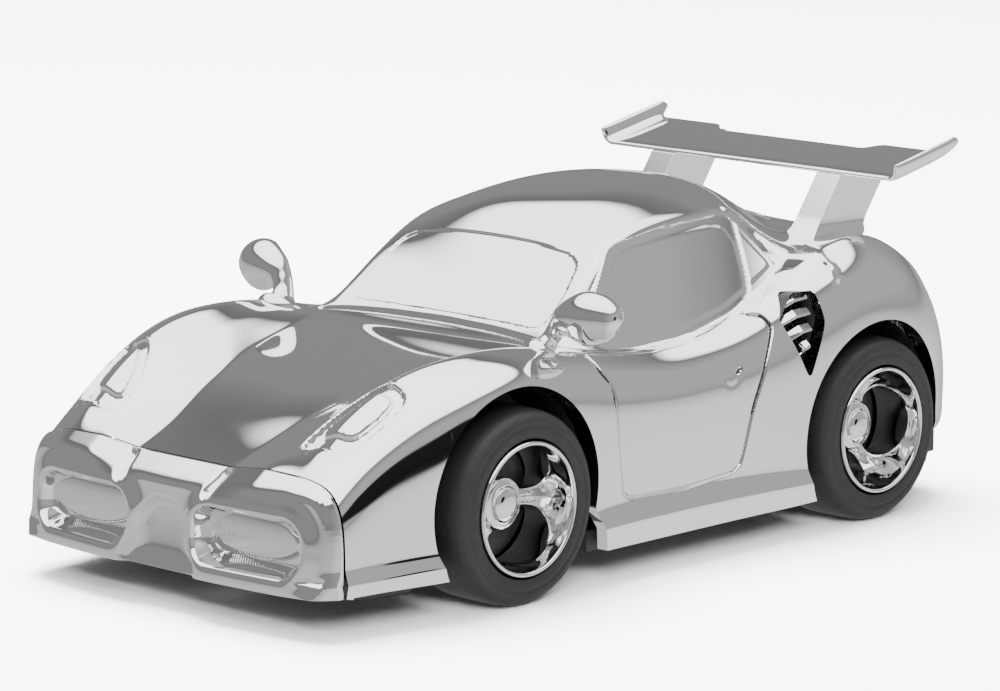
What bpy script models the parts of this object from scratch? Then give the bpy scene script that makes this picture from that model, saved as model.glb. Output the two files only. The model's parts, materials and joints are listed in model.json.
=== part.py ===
"""Pull back car: a chromed toy sports car on four free wheels, with a wind-up pull back motor.

Frame: +Y runs to the tail, +X to the car's left side, +Z up. The origin is on the floor under
the middle of the car. Lengths in this file are millimetres until a mesh is made from them.
"""
import math

import bmesh
import bpy
import numpy as np
from mathutils import Matrix, Vector

MM = 0.001

# ---- driving dimensions (mm) ----
WHEEL_R = 11.0
TYRE_INNER_FACE = 18.2
TYRE_OUTER_FACE = 28.2
RIM_FACE = 28.4
RIM_R = 7.65
FRONT_AXLE_Y = -26.0
REAR_AXLE_Y = 35.5
AXLE_Z = WHEEL_R
AXLE_R = 1.25
AXLE_HALF = 22.8
ARCH_R = 13.0
ARCH_LIFT = 0.5
SHELL = 1.5
GAP = 0.3
SEAM_Y = -50.8
TYRE_SIDES = 30

CHASSIS_BOTTOM = 3.4
CHASSIS_TOP = 5.8

# ---- body sections: station Y, then (x, z) on each of the lines named below ----
LINES = ("centre", "inner", "crease", "flank", "crown", "shoulder",
         "side", "waist", "ridge", "sill", "hem")
# how tightly the skin turns over a line: the smaller, the sharper
EDGES = {"crease": 0.16, "flank": 0.22, "crown": 0.30, "ridge": 0.2, "sill": 0.2}
STATIONS = [
    (-50.8, [(0, 16.4), (4, 16.4), (7.6, 16.4), (13, 17.0), (18.5, 16.9), (22.6, 16.2),
             (24.3, 13.6), (24.6, 10), (24.6, 7.6), (25.1, 6), (24.8, 4.6)]),
    (-46.0, [(0, 18.4), (4.2, 18.4), (7.9, 18.3), (13, 19.5), (18.6, 22.0), (24.1, 18.9),
             (24.8, 15.0), (24.9, 11), (25.1, 7.6), (25.7, 6), (25.3, 4.6)]),
    (-41.0, [(0, 20.9), (4.8, 20.9), (9.3, 20.8), (14, 22.6), (19.2, 25.0), (25.0, 21.8),
             (25.9, 17.6), (26.1, 12.5), (26.2, 7.8), (26.8, 6.2), (26.4, 4.6)]),
    (-36.0, [(0, 22.4), (5.2, 22.5), (10.3, 22.5), (15, 24.6), (19.9, 26.9), (25.4, 24.5),
             (27.2, 20.8), (27.4, 14), (27.2, 8), (27.7, 6.2), (27.2, 4.6)]),
    (-31.0, [(0, 23.4), (6, 23.5), (12.3, 23.5), (16.5, 25.8), (20.7, 27.7), (25.4, 26.3),
             (27.9, 23.6), (28.1, 15), (28, 8), (28.1, 6), (27.8, 4.5)]),
    (-26.0, [(0, 24.1), (7, 24.2), (14, 24.2), (17.5, 26.3), (21.1, 28.0), (25.3, 26.9),
             (28.1, 24.8), (28.3, 15.5), (28.1, 8), (28.2, 6), (27.9, 4.4)]),
    (-20.0, [(0, 24.9), (7.5, 25.0), (15.3, 25.0), (18.5, 26.6), (21.6, 27.6), (25.3, 26.2),
             (27.8, 23.0), (27.9, 14.5), (27.6, 8), (28, 6.2), (27.5, 4)]),
    (-15.0, [(0, 25.3), (8, 25.3), (16.4, 25.6), (19.3, 26.3), (22.1, 26.8), (25.2, 25.2),
             (27.1, 21.8), (27.2, 14), (26.9, 8.3), (27.7, 6.4), (27.2, 3.9)]),
    (-11.5, [(0, 25.6), (8.3, 25.8), (17.2, 26.3), (20.2, 25.7), (22.7, 25.8), (25.2, 24.2),
             (26.8, 20.8), (26.8, 14), (26.4, 8.6), (27.6, 6.6), (27, 3.9)]),
    (-6.0, [(0, 31.0), (8, 31.0), (16.6, 31.2), (20.8, 24.8), (23.1, 24.9), (25.2, 23.4),
            (26.7, 20.2), (26.6, 14), (26.2, 8.7), (27.5, 6.7), (27, 3.9)]),
    (-0.5, [(0, 37.2), (7.8, 37.0), (15.8, 35.3), (21.0, 24.4), (23.2, 24.5), (25.2, 22.9),
            (26.7, 20), (26.6, 14), (26.2, 8.7), (27.5, 6.7), (27, 3.9)]),
    (4.0, [(0, 40.0), (7.8, 39.6), (15.2, 36.9), (21, 24.4), (23.3, 24.6), (25.2, 23.0),
           (26.7, 20), (26.6, 14), (26.2, 8.7), (27.5, 6.7), (27, 3.9)]),
    (12.0, [(0, 41.2), (7.7, 40.8), (14.8, 37.7), (21, 25.2), (23.3, 25.5), (25.3, 23.8),
            (26.8, 20.4), (26.7, 14), (26.4, 8.6), (27.6, 6.6), (27, 3.9)]),
    (20.0, [(0, 41.1), (7.5, 40.6), (14.5, 37.8), (21, 28.2), (23.4, 28.3), (25.6, 26.4),
            (27.2, 22), (27.3, 14), (27.1, 8.3), (27.8, 6.4), (27.3, 3.9)]),
    (26.0, [(0, 40.3), (6.9, 39.6), (13.3, 36.7), (20.0, 31.4), (23.4, 31.3), (26.0, 29.0),
            (27.8, 24.5), (28.0, 15), (27.9, 8), (28.1, 6.2), (27.7, 4.1)]),
    (31.0, [(0, 39.0), (6.0, 38.1), (11.6, 34.9), (18.0, 32.5), (23.0, 33.3), (26.4, 30.8),
            (28.2, 26), (28.3, 15.5), (28.2, 8), (28.2, 6), (27.9, 4.3)]),
    (36.5, [(0, 36.5), (4.8, 35.6), (9.4, 33.0), (16.2, 32.3), (22.4, 34.3), (26.2, 31.2),
            (28.2, 26), (28.3, 15.5), (28.2, 9), (28.2, 7), (27.9, 5.6)]),
    (42.0, [(0, 33.6), (4.6, 33.2), (9.4, 32.3), (16.0, 32.1), (22.2, 33.0), (25.8, 29.4),
            (27.7, 23.5), (27.9, 15), (27.8, 10), (27.9, 8.4), (27.5, 7.2)]),
    (48.0, [(0, 32.3), (5.4, 32.2), (11.0, 32.0), (16.8, 31.4), (21.7, 29.6), (24.7, 25.8),
            (26.3, 20.5), (26.6, 15), (26.4, 11.5), (26.5, 10), (26.1, 8.8)]),
    (52.5, [(0, 30.4), (6.2, 30.4), (12.2, 30.1), (16.8, 29.0), (20.4, 26.6), (22.8, 23.0),
            (24.0, 18.5), (24.2, 14.5), (24.1, 11.5), (24.1, 10.2), (23.8, 9)]),
    (55.6, [(0, 27.8), (6, 27.7), (11.5, 27.2), (15.3, 25.8), (18.5, 23.4), (20.6, 20),
            (21.5, 17), (21.7, 14), (21.6, 11.6), (21.6, 10.3), (21.4, 9.2)]),
    (56.3, [(0, 25.0), (5.6, 24.8), (10.5, 24.2), (13.7, 22.8), (16.3, 20.4), (17.8, 17.8),
            (18.3, 15.6), (18.4, 13.5), (18.3, 11.5), (18.3, 10.3), (18.2, 9.4)]),
]


def control_net():
    """The B-spline net of one half of the body, with a mirrored column and run-out rows."""
    rows = []
    for y, section in STATIONS:
        points = np.array([(x, y, z) for x, z in section], float)
        row = []
        for i, line in enumerate(LINES):
            if line in EDGES:
                before = points[i] + EDGES[line] * (points[i - 1] - points[i])
                after = points[i] + EDGES[line] * (points[i + 1] - points[i])
                row += [before, points[i], after]
            else:
                row.append(points[i])
        rows.append(row)
    net = np.array(rows)
    mirrored = net[:, 1] * (-1, 1, 1)
    below = 2 * net[:, -1] - net[:, -2]
    net = np.concatenate([mirrored[:, None], net, below[:, None]], axis=1)
    front, back = 2 * net[0] - net[1], 2 * net[-1] - net[-2]
    return np.concatenate([front[None], net, back[None]], axis=0)


NET = control_net()
T_END = NET.shape[0] - 3
S_END = NET.shape[1] - 3


def spline_weights(u, spans):
    u = np.clip(u, 0, spans - 1e-9)
    first = np.floor(u).astype(int)
    f = u - first
    weights = ((1 - f) ** 3, 3 * f ** 3 - 6 * f ** 2 + 4, -3 * f ** 3 + 3 * f ** 2 + 3 * f + 1, f ** 3)
    return first, np.stack(weights, -1) / 6


def skin(s, t):
    """Points of the left half of the body: s from centre line to hem, t from seam to tail."""
    s, t = np.broadcast_arrays(np.asarray(s, float), np.asarray(t, float))
    i, across = spline_weights(s, S_END)
    j, along = spline_weights(t, T_END)
    points = np.zeros(s.shape + (3,))
    for a in range(4):
        for b in range(4):
            points += (along[..., b] * across[..., a])[..., None] * NET[j + b, i + a]
    return points


def line_position(name):
    """The s value of a named line."""
    s = 0
    for line in LINES:
        if line == name:
            return s + (1 if line in EDGES else 0)
        s += 3 if line in EDGES else 1
    raise ValueError(name)


def skin_height(x, y):
    """Height of the top skin over a point of the plan."""
    s, t = np.meshgrid(np.linspace(0, line_position("shoulder"), 90), np.linspace(0, T_END, 240))
    points = skin(s, t).reshape(-1, 3)
    distance = np.hypot(points[:, 0] - abs(x), points[:, 1] - y)
    near = np.argsort(distance)[:6]
    weight = 1 / (distance[near] + 1e-6)
    return float((points[near, 2] * weight).sum() / weight.sum())


# ---- scene set-up ----
for old in list(bpy.data.objects):
    bpy.data.objects.remove(old, do_unlink=True)

PARTS = bpy.data.collections.new("pull_back_car")
CUTTERS = bpy.data.collections.new("cutters")
for collection in (PARTS, CUTTERS):
    bpy.context.scene.collection.children.link(collection)


def material(name, colour, roughness, metallic):
    made = bpy.data.materials.new(name)
    made.use_nodes = True
    shader = made.node_tree.nodes["Principled BSDF"]
    shader.inputs["Base Color"].default_value = (*colour, 1)
    shader.inputs["Roughness"].default_value = roughness
    shader.inputs["Metallic"].default_value = metallic
    return made


CHROME = material("chrome", (0.86, 0.87, 0.88), 0.06, 1.0)
BLACK_PLASTIC = material("black_plastic", (0.02, 0.02, 0.02), 0.5, 0.0)
RUBBER = material("rubber", (0.015, 0.015, 0.015), 0.75, 0.0)
STEEL = material("steel", (0.6, 0.6, 0.62), 0.25, 1.0)
SPRING_STEEL = material("spring_steel", (0.35, 0.37, 0.42), 0.3, 1.0)
BRASS = material("brass", (0.75, 0.6, 0.3), 0.3, 1.0)
WHITE_NYLON = material("white_nylon", (0.82, 0.82, 0.78), 0.45, 0.0)
GREY_CASE = material("motor_case", (0.5, 0.52, 0.54), 0.45, 0.0)


# ---- builders ----
def add_object(name, mesh, finish=None):
    """Put a mesh in the scene: a part if it has a finish, else a cutter."""
    made = bpy.data.objects.new(name, mesh)
    if finish is None:
        CUTTERS.objects.link(made)
        made.hide_render = True
        made.display_type = "WIRE"
    else:
        PARTS.objects.link(made)
        mesh.materials.append(finish)
    return made


def from_bmesh(name, bm, finish=None, smooth=True):
    bmesh.ops.recalc_face_normals(bm, faces=bm.faces)
    bmesh.ops.scale(bm, vec=(MM, MM, MM), verts=bm.verts)
    mesh = bpy.data.meshes.new(name)
    bm.to_mesh(mesh)
    bm.free()
    if smooth:
        mesh.shade_smooth()
        mesh.set_sharp_from_angle(angle=math.radians(35))
    return add_object(name, mesh, finish)


def box(name, low, high, finish=None):
    bm = bmesh.new()
    bmesh.ops.create_cube(bm, size=1)
    low, high = Vector(low), Vector(high)
    bmesh.ops.transform(bm, matrix=Matrix.LocRotScale((low + high) / 2, None, high - low), verts=bm.verts)
    return from_bmesh(name, bm, finish, smooth=False)


TOWARDS = {"X": Matrix.Rotation(math.radians(90), 4, "Y"),
           "Y": Matrix.Rotation(math.radians(-90), 4, "X"),
           "Z": Matrix.Identity(4)}


def cylinder(name, radius, start, length, along="Z", finish=None, sides=24, end_radius=None):
    """A cylinder or cone whose axis starts at a point and runs towards +X, +Y or +Z."""
    bm = bmesh.new()
    end_radius = radius if end_radius is None else end_radius
    bmesh.ops.create_cone(bm, cap_ends=True, segments=sides, radius1=radius, radius2=end_radius, depth=length)
    bmesh.ops.translate(bm, vec=(0, 0, length / 2), verts=bm.verts)
    bmesh.ops.transform(bm, matrix=Matrix.Translation(start) @ TOWARDS[along], verts=bm.verts)
    return from_bmesh(name, bm, finish)


def prism(name, outline, low, high, along="Z", finish=None, smooth=False):
    """An outline extruded between two levels of one axis; the other two keep X, Y, Z order."""
    place = {"X": lambda a, b, level: (level, a, b),
             "Y": lambda a, b, level: (a, level, b),
             "Z": lambda a, b, level: (a, b, level)}[along]
    bm = bmesh.new()
    face = bm.faces.new([bm.verts.new(place(a, b, low)) for a, b in outline])
    top = bmesh.ops.extrude_face_region(bm, geom=[face])["geom"]
    moved = [item for item in top if isinstance(item, bmesh.types.BMVert)]
    bmesh.ops.translate(bm, vec=Vector(place(0, 0, high - low)), verts=moved)
    return from_bmesh(name, bm, finish, smooth)


def turned(name, profile, centre, side=1, finish=None, sides=22):
    """A profile of (distance along the axle, radius), turned about an axis parallel to X."""
    mesh = bpy.data.meshes.new(name)
    points = [(radius * MM, 0, x * MM) for x, radius in profile]
    mesh.from_pydata(points, [(i, i + 1) for i in range(len(points) - 1)], [])
    made = add_object(name, mesh, finish)
    screw = made.modifiers.new("turn", "SCREW")
    screw.steps = screw.render_steps = sides
    screw.use_merge_vertices = True
    screw.merge_threshold = 1e-6
    screw.use_normal_calculate = True
    made.location = Vector(centre) * MM
    made.rotation_euler = (0, math.radians(90 * side), 0)
    return made


def rounded_box_outline(centre, half, corner, steps=5):
    """A rectangle with round corners, counter-clockwise."""
    points = []
    for quarter, (sx, sz) in enumerate(((1, 1), (-1, 1), (-1, -1), (1, -1))):
        for k in range(steps + 1):
            angle = math.radians(90 * (quarter + k / steps))
            points.append((centre[0] + sx * (half[0] - corner) + corner * math.cos(angle),
                           centre[1] + sz * (half[1] - corner) + corner * math.sin(angle)))
    return points


def boolean(target, other, operation="DIFFERENCE"):
    modifier = target.modifiers.new(operation.lower(), "BOOLEAN")
    modifier.operation = operation
    modifier.object = other
    modifier.solver = "EXACT"
    return target


def cut(target, *cutters):
    for cutter in cutters:
        boolean(target, cutter, "DIFFERENCE")
    return target


def join(target, *additions):
    for addition in additions:
        boolean(target, addition, "UNION")
    return target


# ---- body ----
def grid_faces(bm, points):
    """Faces between the rows of a grid of points."""
    verts = [[bm.verts.new(p) for p in row] for row in points]
    for j in range(len(verts) - 1):
        for i in range(len(verts[0]) - 1):
            bm.faces.new((verts[j][i], verts[j][i + 1], verts[j + 1][i + 1], verts[j + 1][i]))


BODY_ACROSS = (0, 0.9, 2.0, 3, 4.5, 6, 9, 10.4, 11.2, 12, 13, 15, 18, S_END)
BODY_ROWS = 29
SCREW_POSTS = {"front": -44.0, "rear": 46.5}
POST_R = 2.6
MIRROR_FOOT = (20.2, -15.0)
WING_PEG = (13.2, 42.0)


def arch_cutter(name, side, axle_y, radius, lift):
    start = 15.5 if side > 0 else -35.5
    return cylinder(name, radius, (start, axle_y, AXLE_Z + lift), 20, "X", sides=40)


# outline of the side air intake in the Y-Z plane
INTAKE = ((22.1, 28.9), (25.4, 28.5), (25.4, 25.1), (22.3, 19.0), (19.2, 25.8))


def body_shell():
    rows = np.linspace(0, T_END, BODY_ROWS)
    points = skin(np.array(BODY_ACROSS)[None, :], rows[:, None])
    points[:, 0, 0] = 0
    bm = bmesh.new()
    grid_faces(bm, points)
    bmesh.ops.scale(bm, vec=(MM, MM, MM), verts=bm.verts)
    mesh = bpy.data.meshes.new("body_shell")
    bm.to_mesh(mesh)
    bm.free()
    mesh.shade_smooth()
    body = add_object("body_shell", mesh, CHROME)
    mirror = body.modifiers.new("mirror", "MIRROR")
    mirror.use_axis = (True, False, False)
    mirror.merge_threshold = 1e-5
    solidify = body.modifiers.new("wall", "SOLIDIFY")
    solidify.thickness = SHELL * MM
    solidify.offset = -1
    for label, y in SCREW_POSTS.items():
        top = min(skin_height(0, y - POST_R), skin_height(0, y + POST_R)) - 0.5
        join(body, cylinder("post_" + label, POST_R, (0, y, CHASSIS_TOP + GAP), top - CHASSIS_TOP - GAP))
        cut(body, cylinder("pilot_" + label, 1.35, (0, y, CHASSIS_TOP), 9))
    for side, label in ((1, "left"), (-1, "right")):
        cut(body, arch_cutter("front_arch_" + label, side, FRONT_AXLE_Y - GAP, ARCH_R, ARCH_LIFT),
            arch_cutter("rear_arch_" + label, side, REAR_AXLE_Y, ARCH_R + 0.2, 0))
        low, high = (21, 30) if side > 0 else (-30, -21)
        cut(body, prism("intake_" + label, INTAKE, low, high, "X"))
        cut(body, cylinder("mirror_hole_" + label, 1.25, (side * MIRROR_FOOT[0], MIRROR_FOOT[1], 20), 9))
        cut(body, cylinder("wing_hole_" + label, 1.25, (side * WING_PEG[0], WING_PEG[1], 27), 8))
    return body


# ---- front bumper ----
BUMPER_BACK = SEAM_Y - GAP
BUMPER_BOTTOM = 4.6
BUMPER_ROUND = 2.6
POD_CENTRE = (13.0, 9.5)
POD_HALF = (8.2, 3.5)
POD_CORNER = 3.0
POD_DEPTH = 2.0
LIP_OUT = 1.1


def seam_outline(count=60):
    """The seam's section from the roof line to the hem as (x, z)."""
    return skin(np.linspace(0, S_END, count), 0.0)[:, (0, 2)]


def outline_distance(x, z, outline):
    """Distance from points to a polyline."""
    best = np.full(np.shape(x), 1e9)
    for a, b in zip(outline[:-1], outline[1:]):
        run = b - a
        f = np.clip(((x - a[0]) * run[0] + (z - a[1]) * run[1]) / (run @ run), 0, 1)
        best = np.minimum(best, np.hypot(x - a[0] - f * run[0], z - a[1] - f * run[1]))
    return best


def pod_distance(x, z):
    """Signed distance to the rim of the lamp pocket, positive outside."""
    dx = np.abs(np.abs(x) - POD_CENTRE[0]) - POD_HALF[0] + POD_CORNER
    dz = np.abs(z - POD_CENTRE[1]) - POD_HALF[1] + POD_CORNER
    outside = np.hypot(np.maximum(dx, 0), np.maximum(dz, 0))
    return outside + np.minimum(np.maximum(dx, dz), 0) - POD_CORNER


def nose(x, z, outline):
    """How far the bumper's face stands in front of its back plane."""
    rounding = np.clip(outline_distance(np.abs(x), z, outline) / BUMPER_ROUND, 0, 1)
    reach = 3.1 + 0.9 * np.clip((13.5 - z) / 8.9, 0, 1) ** 2 - 1.3 * (x / 21) ** 2
    pod_rim = 0.9 * np.exp(-(np.clip(pod_distance(x, z), 0, None) / 1.3) ** 2)
    lip = LIP_OUT * np.exp(-((z - BUMPER_BOTTOM) / 1.1) ** 2)
    return (reach + pod_rim + lip) * np.sqrt(1 - (1 - rounding) ** 2)


def front_bumper():
    outline = seam_outline()
    half_width = outline[:, 0].max() - 0.02
    across = half_width * np.sin(np.linspace(-math.pi / 2, math.pi / 2, 31))
    up = 1 - (1 - np.linspace(0, 1, 11)) ** 1.6
    top = np.interp(np.abs(across), outline[:45, 0], outline[:45, 1])
    x = np.repeat(across[None], len(up), 0)
    z = BUMPER_BOTTOM + up[:, None] * (np.maximum(top, BUMPER_BOTTOM + 1.5) - BUMPER_BOTTOM)
    face = np.stack([x, BUMPER_BACK - np.maximum(nose(x, z, outline), 0.4), z], -1)
    back = face.copy()
    back[..., 1] = BUMPER_BACK
    bm = bmesh.new()
    loop = np.concatenate([face, back[::-1]])
    grid_faces(bm, np.concatenate([loop, loop[:1]]))
    bmesh.ops.remove_doubles(bm, verts=bm.verts, dist=1e-6)
    bmesh.ops.holes_fill(bm, edges=bm.edges)
    bumper = from_bmesh("front_bumper", bm, CHROME)
    for side, label in ((1, "left"), (-1, "right")):
        centre = (side * POD_CENTRE[0], POD_CENTRE[1])
        pocket = rounded_box_outline(centre, POD_HALF, POD_CORNER)
        cut(bumper, prism("pocket_" + label, pocket, -60, BUMPER_BACK - 1.4, "Y"))
        join(bumper, cylinder("peg_" + label, 1.3, (side * 9, BUMPER_BACK - 0.8, 10.5), 5, "Y"))
    return bumper


def lamp_insert(side, label):
    centre = (side * POD_CENTRE[0], POD_CENTRE[1])
    half = (POD_HALF[0] - GAP, POD_HALF[1] - GAP)
    outline = rounded_box_outline(centre, half, POD_CORNER - GAP)
    return prism("lamp_insert_" + label, outline, BUMPER_BACK - 2.7, BUMPER_BACK - 1.4 - GAP, "Y", CHROME, True)


# ---- tail panel ----
FASCIA_BACK = 55.2
FASCIA_FRONT = 56.5
TAIL_LAMPS = ((7.2, 19.0), (13.0, 18.0))


def rear_fascia():
    edge = skin(np.linspace(0, S_END, 25), float(T_END))[:, (0, 2)]
    half = [(x - 0.45 * min(1, x / 3), z - 0.55) for x, z in edge]
    half[-1] = (half[-1][0], edge[-1][1])
    outline = half + [(-x, z) for x, z in reversed(half)][:-1]
    panel = prism("rear_fascia", outline, FASCIA_BACK, FASCIA_FRONT, "Y", CHROME)
    for index, (x, z) in enumerate(TAIL_LAMPS):
        for side in (1, -1):
            cut(panel, cylinder(f"tail_lamp_{index}_{side}", 2.4, (side * x, 55.8, z), 3, "Y", sides=14))
    return panel


# ---- side intake grilles ----
SLAT_HEIGHTS = ((27.4, 25.2), (25.7, 26.2), (24.0, 26.6), (22.3, 26.9))


def side_grille(side, label):
    """A back plate inside the intake, with four slats standing out of it to just below the skin."""
    centre = np.mean(INTAKE, axis=0)
    inset = [tuple(centre + (np.array(p) - centre) * 0.88) for p in INTAKE]
    low, high = sorted((side * 22.0, side * 22.8))
    grille = prism("side_grille_" + label, inset, low, high, "X", BLACK_PLASTIC)
    for k, (z, reach) in enumerate(SLAT_HEIGHTS):
        front = np.interp(z, (19.0, 25.8, 28.9), (22.3, 19.2, 22.1)) + 0.8
        rear = np.interp(z, (19.0, 25.1, 28.5), (22.3, 25.4, 25.4)) - 0.8
        slat = ((front, z + 0.3), (rear, z - 0.1), (rear, z - 0.6), (front, z - 0.2))
        low, high = sorted((side * 22.6, side * reach))
        join(grille, prism(f"slat_{label}_{k}", slat, low, high, "X"))
    return grille


# ---- rear wing ----
BLADE_HALF = 23.4
BLADE_LEAD = (43.1, 39.6)
BLADE_TRAIL = (53.6, 41.8)
STRUT_X = (11.4, 15.2)
STRUT_LEAN = 0.72
STRUT_CHORD = 8.9
STRUT_FRONT = 37.7
PLATE_SPLAY = math.radians(6)
# the end plate's outline in the Y-Z plane, from its lower front corner
PLATE = ((42.8, 39.0), (54.6, 41.8), (54.0, 43.9), (42.4, 41.8))


def blade_height(y):
    """Height of the blade's middle surface."""
    f = (y - BLADE_LEAD[0]) / (BLADE_TRAIL[0] - BLADE_LEAD[0])
    return BLADE_LEAD[1] + f * (BLADE_TRAIL[1] - BLADE_LEAD[1])


def rear_wing():
    lead, trail = BLADE_LEAD[0], BLADE_TRAIL[0]
    section = [(lead, blade_height(lead) - 0.3), (lead + 2.5, blade_height(lead + 2.5) - 0.6),
               (trail, blade_height(trail) - 0.35), (trail, blade_height(trail) + 0.15),
               (lead + 3, blade_height(lead + 3) + 0.5), (lead, blade_height(lead) + 0.25)]
    wing = prism("rear_wing", section, -BLADE_HALF, BLADE_HALF, "X", CHROME)
    notch = [(-13.4, trail + 1), (13.4, trail + 1), (11.4, trail - 1.9), (-11.4, trail - 1.9)]
    cut(wing, prism("blade_notch", notch, 38, 46, "Z"))
    for side, label in ((1, "left"), (-1, "right")):
        low, high = sorted((side * (BLADE_HALF - 0.5), side * (BLADE_HALF + 0.8)))
        plate = prism("end_plate_" + label, PLATE, low, high, "X")
        pivot = Matrix.Translation(Vector((side * BLADE_HALF, PLATE[0][0], 0)) * MM)
        plate.matrix_world = pivot @ Matrix.Rotation(-side * PLATE_SPLAY, 4, "Z") @ pivot.inverted()
        join(wing, plate)
        foot = [max(skin_height(x, y) for x in STRUT_X) + GAP
                for y in (STRUT_FRONT, STRUT_FRONT + STRUT_CHORD)]
        top = blade_height(47)
        strut = [(STRUT_FRONT, foot[0]), (STRUT_FRONT + STRUT_CHORD, foot[1]),
                 (STRUT_FRONT + STRUT_CHORD + STRUT_LEAN * (top - foot[1]), top),
                 (STRUT_FRONT + STRUT_LEAN * (top - foot[0]), top)]
        low, high = sorted((side * STRUT_X[0], side * STRUT_X[1]))
        join(wing, prism("strut_" + label, strut, low, high, "X"))
        peg_top = max(foot) + 1.5
        join(wing, cylinder("wing_peg_" + label, 0.9, (side * WING_PEG[0], WING_PEG[1], 28.5), peg_top - 28.5,
                            sides=14))
    return wing


# ---- door mirrors ----
MIRROR_HEAD = (25.9, -14.0, 30.2)
MIRROR_HALF = (4.7, 3.3, 3.4)
MIRROR_SWEEP = 40


def door_mirror(side, label):
    """An egg-shaped head with a flat glass face, on a curved stalk with a peg into the fender."""
    bm = bmesh.new()
    bmesh.ops.create_uvsphere(bm, u_segments=20, v_segments=10, radius=1)
    turn = Matrix.Rotation(math.radians(side * MIRROR_SWEEP), 4, "Z")
    head = Vector((side * MIRROR_HEAD[0], MIRROR_HEAD[1], MIRROR_HEAD[2]))
    size = Matrix.Diagonal((*MIRROR_HALF, 1))
    bmesh.ops.transform(bm, matrix=Matrix.Translation(head) @ turn @ size, verts=bm.verts)
    mirror = from_bmesh("mirror_" + label, bm, CHROME)
    foot_x, foot_y = side * MIRROR_FOOT[0], MIRROR_FOOT[1]
    curve = bpy.data.curves.new("stalk_" + label, "CURVE")
    curve.dimensions = "3D"
    curve.bevel_depth = 0.95 * MM
    curve.bevel_resolution = 2
    curve.use_fill_caps = True
    spline = curve.splines.new("POLY")
    route = ((0, 0, 23.2), (0, 0, 27.4), (0.6, 0.1, 28.6), (2.0, 0.5, 29.6), (4.2, 0.8, 30.1))
    spline.points.add(len(route) - 1)
    for point, (out, back, z) in zip(spline.points, route):
        point.co = ((foot_x + side * out) * MM, (foot_y + back) * MM, z * MM, 1)
    tube = bpy.data.objects.new("stalk_tube_" + label, curve)
    CUTTERS.objects.link(tube)
    bpy.context.view_layer.update()
    mesh = bpy.data.meshes.new_from_object(tube.evaluated_get(bpy.context.evaluated_depsgraph_get()))
    bpy.data.objects.remove(tube)
    bm = bmesh.new()
    bm.from_mesh(mesh)
    bmesh.ops.remove_doubles(bm, verts=bm.verts, dist=1e-6)
    bmesh.ops.recalc_face_normals(bm, faces=bm.faces)
    bm.to_mesh(mesh)
    bm.free()
    join(mirror, add_object("stalk_" + label, mesh))
    return mirror


# ---- chassis ----
CHASSIS_HALF = ((-49.6, 20.5), (-46.0, 22.6), (-39.9, 23.6), (-39.4, 16.4), (-13.0, 16.4),
                (-12.5, 24.4), (22.0, 24.6), (22.5, 16.4), (48.9, 16.4), (49.3, 22.6), (54.2, 20.4))
RETAINER_POST = (11.0, 15.0)
RETAINER_SCREW_Y = -20.0
RETAINER_TOP = AXLE_Z + 3.2
MOTOR_Y = (15.5, 41.0)
MOTOR_Z = (CHASSIS_TOP + GAP, 27.4)
MOTOR_X = 12.0
MOTOR_WALL = 1.1
MOTOR_SCREWS = ((6.5, 12.9), (-6.5, 12.9))
SCREW_HEAD = (2.3, 1.3)
SCREW_R = 1.05


def screw_hole(target, name, x, y):
    """A through hole with a counterbore for the head in the chassis' underside."""
    cut(target, cylinder(name + "_hole", SCREW_R + GAP, (x, y, CHASSIS_BOTTOM - 1), 9, sides=20))
    depth = SCREW_HEAD[1] + GAP
    cut(target, cylinder(name + "_bore", SCREW_HEAD[0] + GAP, (x, y, CHASSIS_BOTTOM - 1), depth + 1, sides=20))


def chassis():
    outline = [(x, y) for y, x in CHASSIS_HALF] + [(-x, y) for y, x in reversed(CHASSIS_HALF)]
    base = prism("chassis", outline, CHASSIS_BOTTOM, CHASSIS_TOP, "Z", BLACK_PLASTIC)
    for side, label in ((1, "left"), (-1, "right")):
        low, high = sorted((side * RETAINER_POST[0], side * RETAINER_POST[1]))
        join(base, box("axle_post_" + label, (low, -30, CHASSIS_TOP - 1), (high, -22, AXLE_Z)))
    join(base, cylinder("retainer_boss", 2.6, (0, RETAINER_SCREW_Y, CHASSIS_TOP - 1), AXLE_Z + 1 - CHASSIS_TOP,
                        sides=20))
    join(base, box("nose_bar", (-14, -49.2, CHASSIS_TOP - 1), (14, -47.4, 12.8)))
    join(base, box("rear_valance", (-21.5, 52.4, CHASSIS_TOP - 1), (21.5, 54.2, 8.4)))
    cut(base, cylinder("front_axle_groove", AXLE_R + 0.15, (-16, FRONT_AXLE_Y, AXLE_Z), 32, "X"))
    for side, label in ((1, "left"), (-1, "right")):
        cut(base, cylinder("peg_hole_" + label, 1.3 + GAP, (side * 9, -50, 10.5), 4, "Y"))
    for label, y in SCREW_POSTS.items():
        screw_hole(base, "body_screw_" + label, 0, y)
    for index, (x, y) in enumerate(MOTOR_SCREWS):
        screw_hole(base, f"motor_screw_{index}", x, y)
    cut(base, cylinder("retainer_pilot", SCREW_R + GAP, (0, RETAINER_SCREW_Y, CHASSIS_BOTTOM + 1.5), 8, sides=16))
    return base


def front_axle_retainer():
    """The bar that closes the front axle's grooves from above, with a tab for its screw."""
    bar = box("front_axle_retainer", (-15, -29.4, AXLE_Z + GAP), (15, -22.6, RETAINER_TOP), BLACK_PLASTIC)
    join(bar, box("retainer_tab", (-3, -23.5, AXLE_Z + GAP), (3, -17.2, RETAINER_TOP)))
    cut(bar, cylinder("retainer_groove", AXLE_R + 0.15, (-16, FRONT_AXLE_Y, AXLE_Z), 32, "X"))
    return cut(bar, cylinder("retainer_hole", SCREW_R + GAP, (0, RETAINER_SCREW_Y, AXLE_Z), 6, sides=16))


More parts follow.
